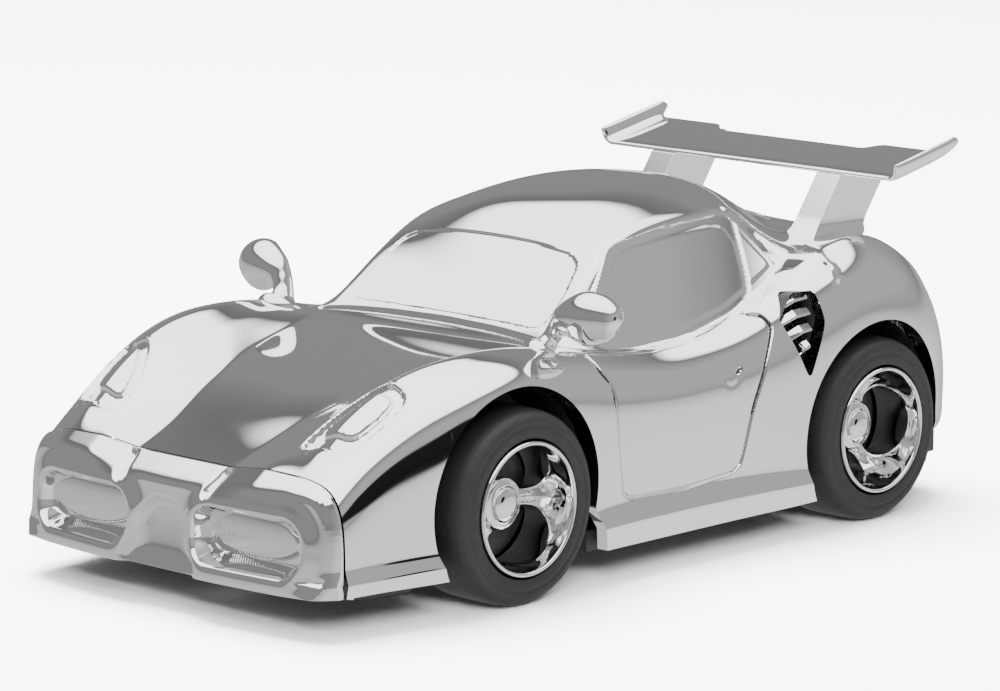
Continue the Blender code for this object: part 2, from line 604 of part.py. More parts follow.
def screw(name, x, y, length, face_z, up=1):
    """A round-headed screw with a cross slot; up is 1 when it is driven upwards, -1 when down."""
    def level(depth, height):
        """Lower end of a stretch that starts at a depth below the head's face."""
        return face_z + depth if up > 0 else face_z - depth - height

    made = cylinder(name, SCREW_HEAD[0], (x, y, level(0, SCREW_HEAD[1])), SCREW_HEAD[1], finish=STEEL, sides=20)
    join(made, cylinder(name + "_shank", SCREW_R, (x, y, level(0.5, length)), length, sides=14))
    for k, half in enumerate(((1.4, 0.25), (0.25, 1.4))):
        low = level(-1, 1.5)
        cut(made, box(f"{name}_slot_{k}", (x - half[0], y - half[1], low), (x + half[0], y + half[1], low + 1.5)))
    return made


# ---- wheels ----
RIM_PROFILE = ((24.9, 0), (24.8, 1.2), (24.4, 2.0), (24.0, 2.9), (23.2, 3.0), (23.2, 5.9), (27.4, 6.9),
               (28.2, 7.1), (RIM_FACE, 7.4), (28.1, RIM_R), (18.6, RIM_R), (18.6, 6.9), (21.6, 5.9),
               (21.6, 2.9), (18.7, 2.7), (18.7, AXLE_R + 0.15), (23.1, AXLE_R + 0.15), (23.1, 0))
TYRE_SCALE = 1 / math.cos(math.pi / TYRE_SIDES)
TYRE_PROFILE = ((27.9, 8.0), (28.2, 8.7), (28.1, 9.9), (27.4, 10.6), (26.2, WHEEL_R), (20.2, WHEEL_R),
                (19.0, 10.6), (18.3, 9.9), (TYRE_INNER_FACE, 8.7), (18.5, 8.0))
SPOKE_HOLE = (2.05, 4.45)


def rim(name, side, axle_y, turn):
    made = turned(name, RIM_PROFILE, (0, axle_y, AXLE_Z), side, CHROME)
    for k in range(3):
        angle = math.radians(turn + 120 * k + 60)
        y = axle_y + SPOKE_HOLE[1] * math.cos(angle)
        z = AXLE_Z + SPOKE_HOLE[1] * math.sin(angle)
        start = 20.5 if side > 0 else -24.5
        cut(made, cylinder(f"{name}_hole_{k}", SPOKE_HOLE[0], (start, y, z), 4, "X", sides=10))
    return made


def tyre(name, side, axle_y):
    profile = [(x, radius * TYRE_SCALE) for x, radius in TYRE_PROFILE]
    made = turned(name, profile + profile[:1], (0, axle_y, AXLE_Z), side, RUBBER, TYRE_SIDES)
    made.rotation_euler.rotate_axis("Z", math.pi / TYRE_SIDES)
    return made


# ---- pull back motor ----
MODULE = 0.5
PINION_TEETH = 10
SHIFT_TEETH = 20
SHIFT_PINION_TEETH = 8
SPRING_TEETH = 30
PRESSURE = math.radians(20)
PINION_X = (-7.2, -5.2)
SPRING_GEAR_X = (-4.0, -2.0)
SHIFT_TRAVEL = 2.4
SHIFT_ANGLE = math.radians(100)
SHIFT_DISTANCE = MODULE * (PINION_TEETH + SHIFT_TEETH) / 2 + 0.05
SPRING_DISTANCE = MODULE * (SHIFT_PINION_TEETH + SPRING_TEETH) / 2 + 0.05
SHIFT_Y = REAR_AXLE_Y + SHIFT_DISTANCE * math.cos(SHIFT_ANGLE)
SHIFT_Z = AXLE_Z + SHIFT_DISTANCE * math.sin(SHIFT_ANGLE)
SPRING_Y = SHIFT_Y + SPRING_DISTANCE * math.cos(SHIFT_ANGLE + math.pi / 2)
SPRING_Z = SHIFT_Z + SPRING_DISTANCE * math.sin(SHIFT_ANGLE + math.pi / 2)
SHIFT_PIN_R = 0.8
SHIFT_PIN_HALF = MOTOR_X + SHIFT_TRAVEL - 0.2
ARBOR_HALF = MOTOR_X - 0.2
ARBOR_R = 1.2


def involute(angle):
    return math.tan(angle) - angle


def gear_outline(teeth, centre, phase, thin=0.22):
    """Outline of a spur gear in the Y-Z plane; phase is the angle of one tooth's middle."""
    pitch_r = MODULE * teeth / 2
    base_r = pitch_r * math.cos(PRESSURE)
    tip_r, root_r = pitch_r + 0.8 * MODULE, pitch_r - 1.15 * MODULE
    half = math.pi / 2 / teeth * (1 - thin) + involute(PRESSURE)

    def half_angle(radius):
        if radius <= base_r:
            return half
        return half - involute(math.acos(base_r / radius))

    radii = (root_r, max(base_r, root_r + 0.05), tip_r)
    points = []
    for k in range(teeth):
        middle = phase + 2 * math.pi * k / teeth
        flank = [(-half_angle(r), r) for r in radii] + [(half_angle(r), r) for r in reversed(radii)]
        points += [(centre[0] + r * math.cos(middle + a), centre[1] + r * math.sin(middle + a)) for a, r in flank]
    return points


def axle_pinion():
    # one tooth points at the shift gear
    outline = gear_outline(PINION_TEETH, (REAR_AXLE_Y, AXLE_Z), SHIFT_ANGLE)
    made = prism("axle_pinion", outline, *PINION_X, "X", BRASS)
    return cut(made, cylinder("pinion_bore", AXLE_R + 0.1, (-9, REAR_AXLE_Y, AXLE_Z), 6, "X"))


def shift_gear():
    """A wheel that the axle pinion drives, in one piece with a long pinion for the spring gear."""
    towards_pinion = SHIFT_ANGLE + math.pi
    centre = (SHIFT_Y, SHIFT_Z)
    wheel = gear_outline(SHIFT_TEETH, centre, towards_pinion + math.pi / SHIFT_TEETH)
    made = prism("shift_gear", wheel, *PINION_X, "X", WHITE_NYLON)
    small = gear_outline(SHIFT_PINION_TEETH, centre, SHIFT_ANGLE + math.pi / 2)
    join(made, prism("shift_pinion", small, PINION_X[1] - 0.3, 0.6, "X"))
    return cut(made, cylinder("shift_bore", SHIFT_PIN_R + 0.1, (-9, SHIFT_Y, SHIFT_Z), 12, "X", sides=16))


def shift_pin():
    """The pin carries the shift gear between two collars, and slides in the motor case."""
    made = cylinder("shift_pin", SHIFT_PIN_R, (SHIFT_TRAVEL - SHIFT_PIN_HALF, SHIFT_Y, SHIFT_Z),
                    2 * SHIFT_PIN_HALF - SHIFT_TRAVEL, "X", STEEL, sides=16)
    for label, x in (("outer", PINION_X[0] - 0.9), ("inner", 0.8)):
        join(made, cylinder("pin_collar_" + label, 1.5, (x, SHIFT_Y, SHIFT_Z), 0.7, "X", sides=16))
    return made


def spring_gear():
    """The spring's gear in one piece with the arbor that the spring winds on."""
    towards_shift = SHIFT_ANGLE - math.pi / 2
    outline = gear_outline(SPRING_TEETH, (SPRING_Y, SPRING_Z), towards_shift + math.pi / SPRING_TEETH)
    made = prism("spring_gear", outline, *SPRING_GEAR_X, "X", WHITE_NYLON)
    return join(made, cylinder("arbor", ARBOR_R, (-ARBOR_HALF, SPRING_Y, SPRING_Z), 2 * ARBOR_HALF, "X", sides=20))


SPRING_TURNS = 4
SPRING_R = (1.75, 7.3)
SPRING_X = (1.8, 8.6)


def mainspring():
    """A spiral of flat steel strip round the arbor."""
    steps = 18 * SPRING_TURNS
    bm = bmesh.new()
    rows = []
    for k in range(steps + 1):
        angle = 2 * math.pi * SPRING_TURNS * k / steps
        radius = SPRING_R[0] + (SPRING_R[1] - SPRING_R[0]) * k / steps
        y, z = SPRING_Y + radius * math.cos(angle), SPRING_Z + radius * math.sin(angle)
        rows.append([(x, y, z) for x in SPRING_X])
    grid_faces(bm, rows)
    made = from_bmesh("mainspring", bm, SPRING_STEEL)
    strip = made.modifiers.new("strip", "SOLIDIFY")
    strip.thickness = 0.35 * MM
    strip.offset = 0
    return made


def motor_case(side, label):
    """One half of the motor case, open towards the middle, with a lug for its screw."""
    inner, outer = side * GAP / 2, side * MOTOR_X
    low, high = sorted((inner, outer))
    case = box("motor_case_" + label, (low, MOTOR_Y[0], MOTOR_Z[0]), (high, MOTOR_Y[1], MOTOR_Z[1]), GREY_CASE)
    hollow_low, hollow_high = sorted((-side, side * (MOTOR_X - MOTOR_WALL)))
    cut(case, box("motor_hollow_" + label, (hollow_low, MOTOR_Y[0] + MOTOR_WALL, MOTOR_Z[0] + MOTOR_WALL),
                  (hollow_high, MOTOR_Y[1] - MOTOR_WALL, MOTOR_Z[1] - MOTOR_WALL)))
    lug_low, lug_high = sorted((side * 3.5, side * 9.5))
    join(case, box("motor_lug_" + label, (lug_low, MOTOR_Y[0] - 5.2, MOTOR_Z[0]),
                   (lug_high, MOTOR_Y[0] + 0.5, MOTOR_Z[0] + 6)))
    cut(case, cylinder("motor_pilot_" + label, SCREW_R + GAP, (side * 6.5, 12.9, MOTOR_Z[0] - 1), 6, sides=20))
    start = (MOTOR_X - 3) if side > 0 else -MOTOR_X - 1
    for hole, radius, y, z in (("axle", AXLE_R, REAR_AXLE_Y, AXLE_Z), ("pin", SHIFT_PIN_R, SHIFT_Y, SHIFT_Z),
                               ("arbor", ARBOR_R, SPRING_Y, SPRING_Z)):
        cut(case, cylinder(f"motor_{hole}_hole_{label}", radius + 0.15, (start, y, z), 4, "X", sides=20))
    return case


def axle(name, axle_y):
    return cylinder(name, AXLE_R, (-AXLE_HALF, axle_y, AXLE_Z), 2 * AXLE_HALF, "X", STEEL, sides=20)


def build():
    body_shell()
    front_bumper()
    rear_fascia()
    rear_wing()
    chassis()
    front_axle_retainer()
    for side, label in ((1, "left"), (-1, "right")):
        lamp_insert(side, label)
        side_grille(side, label)
        door_mirror(side, label)
        motor_case(side, label)
        rim("rim_front_" + label, side, FRONT_AXLE_Y, 0)
        rim("rim_rear_" + label, side, REAR_AXLE_Y, 60)
        tyre("tyre_front_" + label, side, FRONT_AXLE_Y)
        tyre("tyre_rear_" + label, side, REAR_AXLE_Y)
    head_z = CHASSIS_BOTTOM + 0.2
    for label, y in SCREW_POSTS.items():
        screw("body_screw_" + label, 0, y, 9, head_z)
    for (x, y), label in zip(MOTOR_SCREWS, ("left", "right")):
        screw("motor_screw_" + label, x, y, 6, head_z)
    screw("retainer_screw", 0, RETAINER_SCREW_Y, 8, RETAINER_TOP + GAP + SCREW_HEAD[1], -1)
    axle("front_axle", FRONT_AXLE_Y)
    axle("rear_axle", REAR_AXLE_Y)
    axle_pinion()
    shift_gear()
    shift_pin()
    spring_gear()
    mainspring()


build()
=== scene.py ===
"""The looks of a chromed pull back car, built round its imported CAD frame.

Frame: +Y runs to the tail, +X to the car's left side, +Z up. Lengths here are millimetres until a
mesh is made from them.
"""
import json
import math

import bmesh
import bpy
import numpy as np
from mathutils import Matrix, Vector


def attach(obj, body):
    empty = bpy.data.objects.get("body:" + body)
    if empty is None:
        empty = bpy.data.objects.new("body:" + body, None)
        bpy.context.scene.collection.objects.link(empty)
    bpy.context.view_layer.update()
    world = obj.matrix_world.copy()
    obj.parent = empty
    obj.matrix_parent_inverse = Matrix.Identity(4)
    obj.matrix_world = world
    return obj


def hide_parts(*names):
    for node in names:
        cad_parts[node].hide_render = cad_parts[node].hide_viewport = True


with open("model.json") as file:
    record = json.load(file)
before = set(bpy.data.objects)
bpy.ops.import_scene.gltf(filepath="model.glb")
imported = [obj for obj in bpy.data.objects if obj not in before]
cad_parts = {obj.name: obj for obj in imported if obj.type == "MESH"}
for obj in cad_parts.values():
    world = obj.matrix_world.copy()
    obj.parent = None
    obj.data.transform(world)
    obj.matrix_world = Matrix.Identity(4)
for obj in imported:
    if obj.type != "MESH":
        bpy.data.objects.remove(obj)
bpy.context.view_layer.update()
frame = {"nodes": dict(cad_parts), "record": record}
MM = 0.001

# ---- driving dimensions (mm) ----
WHEEL_R = 11.0
AXLE_Z = WHEEL_R
FRONT_AXLE_Y = -26.0
REAR_AXLE_Y = 35.5
SEAM_Y = -50.8
GAP = 0.3
# wheel arch: centre (Y, z) and radius
ARCHES = {"front": ((-26.3, 11.5), 13.0), "rear": ((35.5, 11.0), 13.2)}
LIP = 1.5

# ---- body sections: station Y, then (x, z) on each of the lines named below ----
LINES = ("centre", "inner", "crease", "flank", "crown", "shoulder",
         "side", "waist", "ridge", "sill", "hem")
# how tightly the skin turns over a line: the smaller, the sharper
EDGES = {"crease": 0.16, "flank": 0.22, "crown": 0.30, "ridge": 0.2, "sill": 0.2}
STATIONS = [
    (-50.8, [(0, 16.4), (4, 16.4), (7.6, 16.4), (13, 17.0), (18.5, 16.9), (22.6, 16.2),
             (24.3, 13.6), (24.6, 10), (24.6, 7.6), (25.1, 6), (24.8, 4.6)]),
    (-46.0, [(0, 18.4), (4.2, 18.4), (7.9, 18.3), (13, 19.5), (18.6, 22.0), (24.1, 18.9),
             (24.8, 15.0), (24.9, 11), (25.1, 7.6), (25.7, 6), (25.3, 4.6)]),
    (-41.0, [(0, 20.9), (4.8, 20.9), (9.3, 20.8), (14, 22.6), (19.2, 25.0), (25.0, 21.8),
             (25.9, 17.6), (26.1, 12.5), (26.2, 7.8), (26.8, 6.2), (26.4, 4.6)]),
    (-36.0, [(0, 22.4), (5.2, 22.5), (10.3, 22.5), (15, 24.6), (19.9, 26.9), (25.4, 24.5),
             (27.2, 20.8), (27.4, 14), (27.2, 8), (27.7, 6.2), (27.2, 4.6)]),
    (-31.0, [(0, 23.4), (6, 23.5), (12.3, 23.5), (16.5, 25.8), (20.7, 27.7), (25.4, 26.3),
             (27.9, 23.6), (28.1, 15), (28, 8), (28.1, 6), (27.8, 4.5)]),
    (-26.0, [(0, 24.1), (7, 24.2), (14, 24.2), (17.5, 26.3), (21.1, 28.0), (25.3, 26.9),
             (28.1, 24.8), (28.3, 15.5), (28.1, 8), (28.2, 6), (27.9, 4.4)]),
    (-20.0, [(0, 24.9), (7.5, 25.0), (15.3, 25.0), (18.5, 26.6), (21.6, 27.6), (25.3, 26.2),
             (27.8, 23.0), (27.9, 14.5), (27.6, 8), (28, 6.2), (27.5, 4)]),
    (-15.0, [(0, 25.3), (8, 25.3), (16.4, 25.6), (19.3, 26.3), (22.1, 26.8), (25.2, 25.2),
             (27.1, 21.8), (27.2, 14), (26.9, 8.3), (27.7, 6.4), (27.2, 3.9)]),
    (-11.5, [(0, 25.6), (8.3, 25.8), (17.2, 26.3), (20.2, 25.7), (22.7, 25.8), (25.2, 24.2),
             (26.8, 20.8), (26.8, 14), (26.4, 8.6), (27.6, 6.6), (27, 3.9)]),
    (-6.0, [(0, 31.0), (8, 31.0), (16.6, 31.2), (20.8, 24.8), (23.1, 24.9), (25.2, 23.4),
            (26.7, 20.2), (26.6, 14), (26.2, 8.7), (27.5, 6.7), (27, 3.9)]),
    (-0.5, [(0, 37.2), (7.8, 37.0), (15.8, 35.3), (21.0, 24.4), (23.2, 24.5), (25.2, 22.9),
            (26.7, 20), (26.6, 14), (26.2, 8.7), (27.5, 6.7), (27, 3.9)]),
    (4.0, [(0, 40.0), (7.8, 39.6), (15.2, 36.9), (21, 24.4), (23.3, 24.6), (25.2, 23.0),
           (26.7, 20), (26.6, 14), (26.2, 8.7), (27.5, 6.7), (27, 3.9)]),
    (12.0, [(0, 41.2), (7.7, 40.8), (14.8, 37.7), (21, 25.2), (23.3, 25.5), (25.3, 23.8),
            (26.8, 20.4), (26.7, 14), (26.4, 8.6), (27.6, 6.6), (27, 3.9)]),
    (20.0, [(0, 41.1), (7.5, 40.6), (14.5, 37.8), (21, 28.2), (23.4, 28.3), (25.6, 26.4),
            (27.2, 22), (27.3, 14), (27.1, 8.3), (27.8, 6.4), (27.3, 3.9)]),
    (26.0, [(0, 40.3), (6.9, 39.6), (13.3, 36.7), (20.0, 31.4), (23.4, 31.3), (26.0, 29.0),
            (27.8, 24.5), (28.0, 15), (27.9, 8), (28.1, 6.2), (27.7, 4.1)]),
    (31.0, [(0, 39.0), (6.0, 38.1), (11.6, 34.9), (18.0, 32.5), (23.0, 33.3), (26.4, 30.8),
            (28.2, 26), (28.3, 15.5), (28.2, 8), (28.2, 6), (27.9, 4.3)]),
    (36.5, [(0, 36.5), (4.8, 35.6), (9.4, 33.0), (16.2, 32.3), (22.4, 34.3), (26.2, 31.2),
            (28.2, 26), (28.3, 15.5), (28.2, 9), (28.2, 7), (27.9, 5.6)]),
    (42.0, [(0, 33.6), (4.6, 33.2), (9.4, 32.3), (16.0, 32.1), (22.2, 33.0), (25.8, 29.4),
            (27.7, 23.5), (27.9, 15), (27.8, 10), (27.9, 8.4), (27.5, 7.2)]),
    (48.0, [(0, 32.3), (5.4, 32.2), (11.0, 32.0), (16.8, 31.4), (21.7, 29.6), (24.7, 25.8),
            (26.3, 20.5), (26.6, 15), (26.4, 11.5), (26.5, 10), (26.1, 8.8)]),
    (52.5, [(0, 30.4), (6.2, 30.4), (12.2, 30.1), (16.8, 29.0), (20.4, 26.6), (22.8, 23.0),
            (24.0, 18.5), (24.2, 14.5), (24.1, 11.5), (24.1, 10.2), (23.8, 9)]),
    (55.6, [(0, 27.8), (6, 27.7), (11.5, 27.2), (15.3, 25.8), (18.5, 23.4), (20.6, 20),
            (21.5, 17), (21.7, 14), (21.6, 11.6), (21.6, 10.3), (21.4, 9.2)]),
    (56.3, [(0, 25.0), (5.6, 24.8), (10.5, 24.2), (13.7, 22.8), (16.3, 20.4), (17.8, 17.8),
            (18.3, 15.6), (18.4, 13.5), (18.3, 11.5), (18.3, 10.3), (18.2, 9.4)]),
]


def control_net():
    """The B-spline net of one half of the body, with a mirrored column and run-out rows."""
    rows = []
    for y, section in STATIONS:
        points = np.array([(x, y, z) for x, z in section], float)
        row = []
        for i, line in enumerate(LINES):
            if line in EDGES:
                before = points[i] + EDGES[line] * (points[i - 1] - points[i])
                after = points[i] + EDGES[line] * (points[i + 1] - points[i])
                row += [before, points[i], after]
            else:
                row.append(points[i])
        rows.append(row)
    net = np.array(rows)
    mirrored = net[:, 1] * (-1, 1, 1)
    below = 2 * net[:, -1] - net[:, -2]
    net = np.concatenate([mirrored[:, None], net, below[:, None]], axis=1)
    front, back = 2 * net[0] - net[1], 2 * net[-1] - net[-2]
    return np.concatenate([front[None], net, back[None]], axis=0)


NET = control_net()
T_END = NET.shape[0] - 3
S_END = NET.shape[1] - 3


def spline_weights(u, spans):
    u = np.clip(u, 0, spans - 1e-9)
    first = np.floor(u).astype(int)
    f = u - first
    weights = ((1 - f) ** 3, 3 * f ** 3 - 6 * f ** 2 + 4, -3 * f ** 3 + 3 * f ** 2 + 3 * f + 1, f ** 3)
    return first, np.stack(weights, -1) / 6


def skin(s, t):
    """Points of the left half of the body: s from centre line to hem, t from seam to tail."""
    s, t = np.broadcast_arrays(np.asarray(s, float), np.asarray(t, float))
    i, across = spline_weights(s, S_END)
    j, along = spline_weights(t, T_END)
    points = np.zeros(s.shape + (3,))
    for a in range(4):
        for b in range(4):
            points += (along[..., b] * across[..., a])[..., None] * NET[j + b, i + a]
    return points


# ---- curves and distances ----
def smooth_curve(points, closed=False, cut_at=0.2, round_corners=2):
    """A polyline with its corners cut, at the same share of each side in every pass."""
    curve = np.array(points, float)
    for _ in range(round_corners):
        following = np.roll(curve, -1, axis=0)
        near, far = (1 - cut_at) * curve + cut_at * following, cut_at * curve + (1 - cut_at) * following
        cut = np.stack([near, far], 1).reshape(-1, curve.shape[1])
        curve = cut if closed else np.concatenate([curve[:1], cut[1:-3], curve[-1:]])
    if closed:
        curve = np.concatenate([curve, curve[:1]])
    return curve


def distance_to(curve, points, reach=1.5):
    """Distance from 2-D points to a polyline, worked out only near it."""
    best = np.full(len(points), 1e3)
    low, high = curve.min(0) - reach, curve.max(0) + reach
    near = np.flatnonzero(((points > low) & (points < high)).all(1))
    p = points[near]
    found = np.full(len(near), 1e3)
    for a, b in zip(curve[:-1], curve[1:]):
        run = b - a
        f = np.clip(((p - a) @ run) / max(run @ run, 1e-12), 0, 1)
        found = np.minimum(found, np.hypot(*(p - a - f[:, None] * run).T))
    best[near] = found
    return best


def inside(curve, points):
    """Which 2-D points lie inside a closed polyline."""
    flips = np.zeros(len(points), bool)
    x, y = points.T
    for a, b in zip(curve[:-1], curve[1:]):
        if a[1] != b[1]:
            crosses = (a[1] > y) != (b[1] > y)
            flips ^= crosses & (x < (b[0] - a[0]) * (y - a[1]) / (b[1] - a[1]) + a[0])
    return flips


def signed_distance(curve, points, reach=1.5):
    """Distance to a closed outline, negative inside it."""
    return np.where(inside(curve, points), -1, 1) * distance_to(curve, points, reach)


def step(value, low, high):
    f = np.clip((value - low) / (high - low), 0, 1)
    return f * f * (3 - 2 * f)


# ---- adaptive sheets ----
def split_cells(place, detail, cells, levels):
    """Cells of a grid over (u, v), halved again wherever detail says a feature is near."""
    size = 2 ** levels
    i, j = np.meshgrid(np.arange(cells[0]) * size, np.arange(cells[1]) * size)
    leaves, current = [], np.stack([i.ravel(), j.ravel()], 1)
    for level in range(levels):
        middle = (current + size / 2) / 2 ** levels
        points = place(middle[:, 0], middle[:, 1])
        corner = place(current[:, 0] / 2 ** levels, current[:, 1] / 2 ** levels)
        radius = np.linalg.norm(points - corner, axis=1)
        wanted = detail(points, level) < radius + 0.08
        leaves.append((current[~wanted], size))
        size //= 2
        offsets = np.array([(0, 0), (size, 0), (0, size), (size, size)])
        current = (current[wanted][:, None] + offsets[None]).reshape(-1, 2)
    leaves.append((current, size))
    return leaves


def sheet_polygons(leaves, limit):
    """Vertex places and polygons of the leaves; a cell keeps its finer neighbours' vertices."""
    known = {}
    for cells, size in leaves:
        for di, dj in ((0, 0), (size, 0), (size, size), (0, size)):
            for i, j in (cells + (di, dj)).tolist():
                known.setdefault((i, j), len(known))
    polygons = []
    for cells, size in leaves:
        for i, j in cells.tolist():
            loop = []
            for start, way in (((i, j), (1, 0)), ((i + size, j), (0, 1)),
                               ((i + size, j + size), (-1, 0)), ((i, j + size), (0, -1))):
                for k in range(size):
                    index = known.get((start[0] + way[0] * k, start[1] + way[1] * k))
                    if index is not None:
                        loop.append(index)
            polygons.append(loop)
    return np.array(list(known), float) / limit, polygons


def clip_polygons(uv, polygons, field):
    """Keep the part of each polygon where the field is positive, cutting edges at its zero."""
    uv, values, shared, kept = [tuple(p) for p in uv], list(field(uv)), {}, []
    for loop in polygons:
        signs = [values[index] > 0 for index in loop]
        if all(signs):
            kept.append(loop)
            continue
        if not any(signs):
            continue
        clipped = []
        for a, b in zip(loop, loop[1:] + loop[:1]):
            if values[a] > 0:
                clipped.append(a)
            if (values[a] > 0) != (values[b] > 0):
                key = (min(a, b), max(a, b))
                if key not in shared:
                    f = values[key[0]] / (values[key[0]] - values[key[1]])
                    shared[key] = len(uv)
                    uv.append(tuple((1 - f) * np.array(uv[key[0]]) + f * np.array(uv[key[1]])))
                    values.append(0.0)
                clipped.append(shared[key])
        if len(clipped) > 2:
            kept.append(clipped)
    return np.array(uv), kept


def adaptive_sheet(place, detail, cells, levels=3, fields=(), delta=0.004):
    """Points, unit normals and polygons of a sheet, refined at features and clipped by fields."""
    leaves = split_cells(place, detail, cells, levels)
    uv, polygons = sheet_polygons(leaves, 2 ** levels)
    for field in fields:
        uv, polygons = clip_polygons(uv, polygons, lambda p: field(place(*np.array(p).T)))
    used = np.unique(np.concatenate([np.array(loop) for loop in polygons]))
    renumber = np.full(len(uv), -1)
    renumber[used] = np.arange(len(used))
    polygons = [renumber[loop].tolist() for loop in polygons]
    u, v = uv[used].T
    points = place(u, v)
    du = place(u + delta, v) - place(u - delta, v)
    dv = place(u, v + delta) - place(u, v - delta)
    normals = np.cross(du, dv)
    normals /= np.linalg.norm(normals, axis=1, keepdims=True) + 1e-12
    return points, normals, polygons


def boundary_edges(polygons):
    """Directed edges that only one polygon uses."""
    edges = {}
    for loop in polygons:
        for a, b in zip(loop, loop[1:] + loop[:1]):
            edges[(a, b)] = True
    return [edge for edge in edges if (edge[1], edge[0]) not in edges]


class Shell:
    """Points, polygons and corner normals that become one mesh object."""

    def __init__(self):
        self.points, self.polygons, self.corners, self.finish = [], [], [], []

    def add(self, points, polygons, normals=None, finish=0):
        start = len(self.points)
        self.points += [tuple(p) for p in points]
        self.finish += [finish] * len(polygons)
        for loop in polygons:
            self.polygons.append([start + index for index in loop])
            if normals is None:
                a, b, c = (np.array(points[loop[k]]) for k in (0, 1, 2))
                normal = np.cross(b - a, c - a)
                normal = normal / (np.linalg.norm(normal) + 1e-12)
                self.corners += [tuple(normal)] * len(loop)
            else:
                self.corners += [tuple(normals[index]) for index in loop]
        return start

    def lip(self, start, edges, offset):
        """A wall from directed border edges, each vertex moved by its own offset."""
        inner = {}
        for a, b in edges:
            for index in (a, b):
                if index not in inner:
                    inner[index] = len(self.points)
                    self.points.append(tuple(np.array(self.points[start + index]) + offset(index)))
            quad = [start + b, start + a, inner[a], inner[b]]
            p = [np.array(self.points[index]) for index in quad]
            normal = np.cross(p[1] - p[0], p[3] - p[0])
            normal = normal / (np.linalg.norm(normal) + 1e-12)
            self.polygons.append(quad)
            self.finish.append(0)
            self.corners += [tuple(normal)] * 4

    def mirrored(self):
        """Both halves, joined where x is zero."""
        both = Shell()
        index_of, second = [], []
        for p in self.points:
            index_of.append(len(both.points))
            both.points.append(p)
        for k, p in enumerate(self.points):
            if abs(p[0]) < 1e-4:
                second.append(index_of[k])
            else:
                second.append(len(both.points))
                both.points.append((-p[0], p[1], p[2]))
        at = 0
        for loop in self.polygons:
            corners = self.corners[at:at + len(loop)]
            at += len(loop)
            both.polygons.append([index_of[k] for k in loop])
            both.corners += corners
        both.finish = self.finish * 2
        at = 0
        for loop in self.polygons:
            corners = self.corners[at:at + len(loop)]
            at += len(loop)
            both.polygons.append([second[k] for k in reversed(loop)])
            both.corners += [(-n[0], n[1], n[2]) for n in reversed(corners)]
        return both

    def moved(self, place, flip=False):
        """A copy with every point and normal passed through place, turned inside out if flip."""
        copy = Shell()
        copy.points = [tuple(place(np.array(p))) for p in self.points]
        zero = place(np.zeros(3))
        copy.finish = list(self.finish)
        at = 0
        for loop in self.polygons:
            corners = [tuple(place(np.array(n)) - zero) for n in self.corners[at:at + len(loop)]]
            at += len(loop)
            copy.polygons.append(loop[::-1] if flip else loop)
            copy.corners += corners[::-1] if flip else corners
        return copy

    def make(self, name, *finishes):
        mesh = bpy.data.meshes.new(name)
        mesh.from_pydata([tuple(c * MM for c in p) for p in self.points], [], self.polygons)
        mesh.shade_smooth()
        mesh.normals_split_custom_set(self.corners)
        made = bpy.data.objects.new(name, mesh)
        bpy.context.scene.collection.objects.link(made)
        for finish in finishes:
            mesh.materials.append(finish)
        mesh.polygons.foreach_set("material_index", self.finish)
        return made


def piece(made, body, slot, *nodes):
    """Tie a piece to its body and hide the CAD nodes named, which it stands for; slot is not used."""
    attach(made, body)
    if nodes:
        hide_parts(*nodes)
    return made


# ---- materials ----
def settle(node, values):
    """Give plain values to a node's named inputs."""
    for key, value in values.items():
        node.inputs[key].default_value = value


def material(name, colour, metallic, roughness, bump, grain, shade=0.04, coat=0.0):
    """A surface whose colour, roughness and fine relief vary with noise of a given grain in mm."""
    made = bpy.data.materials.new(name)
    made.use_nodes = True
    nodes, links = made.node_tree.nodes, made.node_tree.links
    shader = nodes["Principled BSDF"]
    settle(shader, {"Metallic": metallic, "Coat Weight": coat})
    place = nodes.new("ShaderNodeTexCoord")
    fine = nodes.new("ShaderNodeTexNoise")
    settle(fine, {"Scale": 1 / (grain * MM), "Detail": 4})
    broad = nodes.new("ShaderNodeTexNoise")
    settle(broad, {"Scale": 1 / (9 * MM), "Detail": 3})
    for noise in (fine, broad):
        links.new(place.outputs["Object"], noise.inputs["Vector"])
    level = nodes.new("ShaderNodeMapRange")
    settle(level, {"From Min": 0.3, "From Max": 0.7, "To Min": roughness[0], "To Max": roughness[1]})
    links.new(broad.outputs["Fac"], level.inputs["Value"])
    links.new(level.outputs["Result"], shader.inputs["Roughness"])
    tint = nodes.new("ShaderNodeMix")
    tint.data_type = "RGBA"
    settle(tint, {"A": (*(c * (1 - shade) for c in colour), 1),
                  "B": (*(min(1, c * (1 + shade)) for c in colour), 1)})
    links.new(fine.outputs["Fac"], tint.inputs["Factor"])
    links.new(tint.outputs["Result"], shader.inputs["Base Color"])
    relief = nodes.new("ShaderNodeBump")
    settle(relief, {"Strength": 1, "Distance": bump * MM})
    links.new(fine.outputs["Fac"], relief.inputs["Height"])
    links.new(relief.outputs["Normal"], shader.inputs["Normal"])
    return made


CHROME = material("chrome_plating", (0.9, 0.9, 0.905), 1, (0.02, 0.05), 0.0006, 1.6, 0.01)
RIM_CHROME = material("rim_plating", (0.88, 0.88, 0.89), 1, (0.03, 0.07), 0.0008, 1.2, 0.015)
LAMP_CHROME = material("lamp_plating", (0.86, 0.87, 0.88), 1, (0.05, 0.1), 0.0008, 0.8, 0.02)
# black plastic parts; on the chromed body it is also the painted shade in the panel grooves
BLACK = material("black_moulding_and_groove_shade", (0.012, 0.012, 0.013), 0, (0.42, 0.6), 0.02, 0.35, 0.25)
RUBBER = material("tyre_rubber", (0.006, 0.006, 0.0065), 0, (0.55, 0.7), 0.025, 0.3, 0.3)
STEEL = material("turned_steel", (0.58, 0.58, 0.6), 1, (0.18, 0.32), 0.004, 0.3, 0.06)
SPRING = material("blued_spring", (0.2, 0.23, 0.3), 1, (0.25, 0.4), 0.003, 0.4, 0.15)
BRASS = material("cut_brass", (0.74, 0.56, 0.27), 1, (0.2, 0.34), 0.004, 0.3, 0.06)
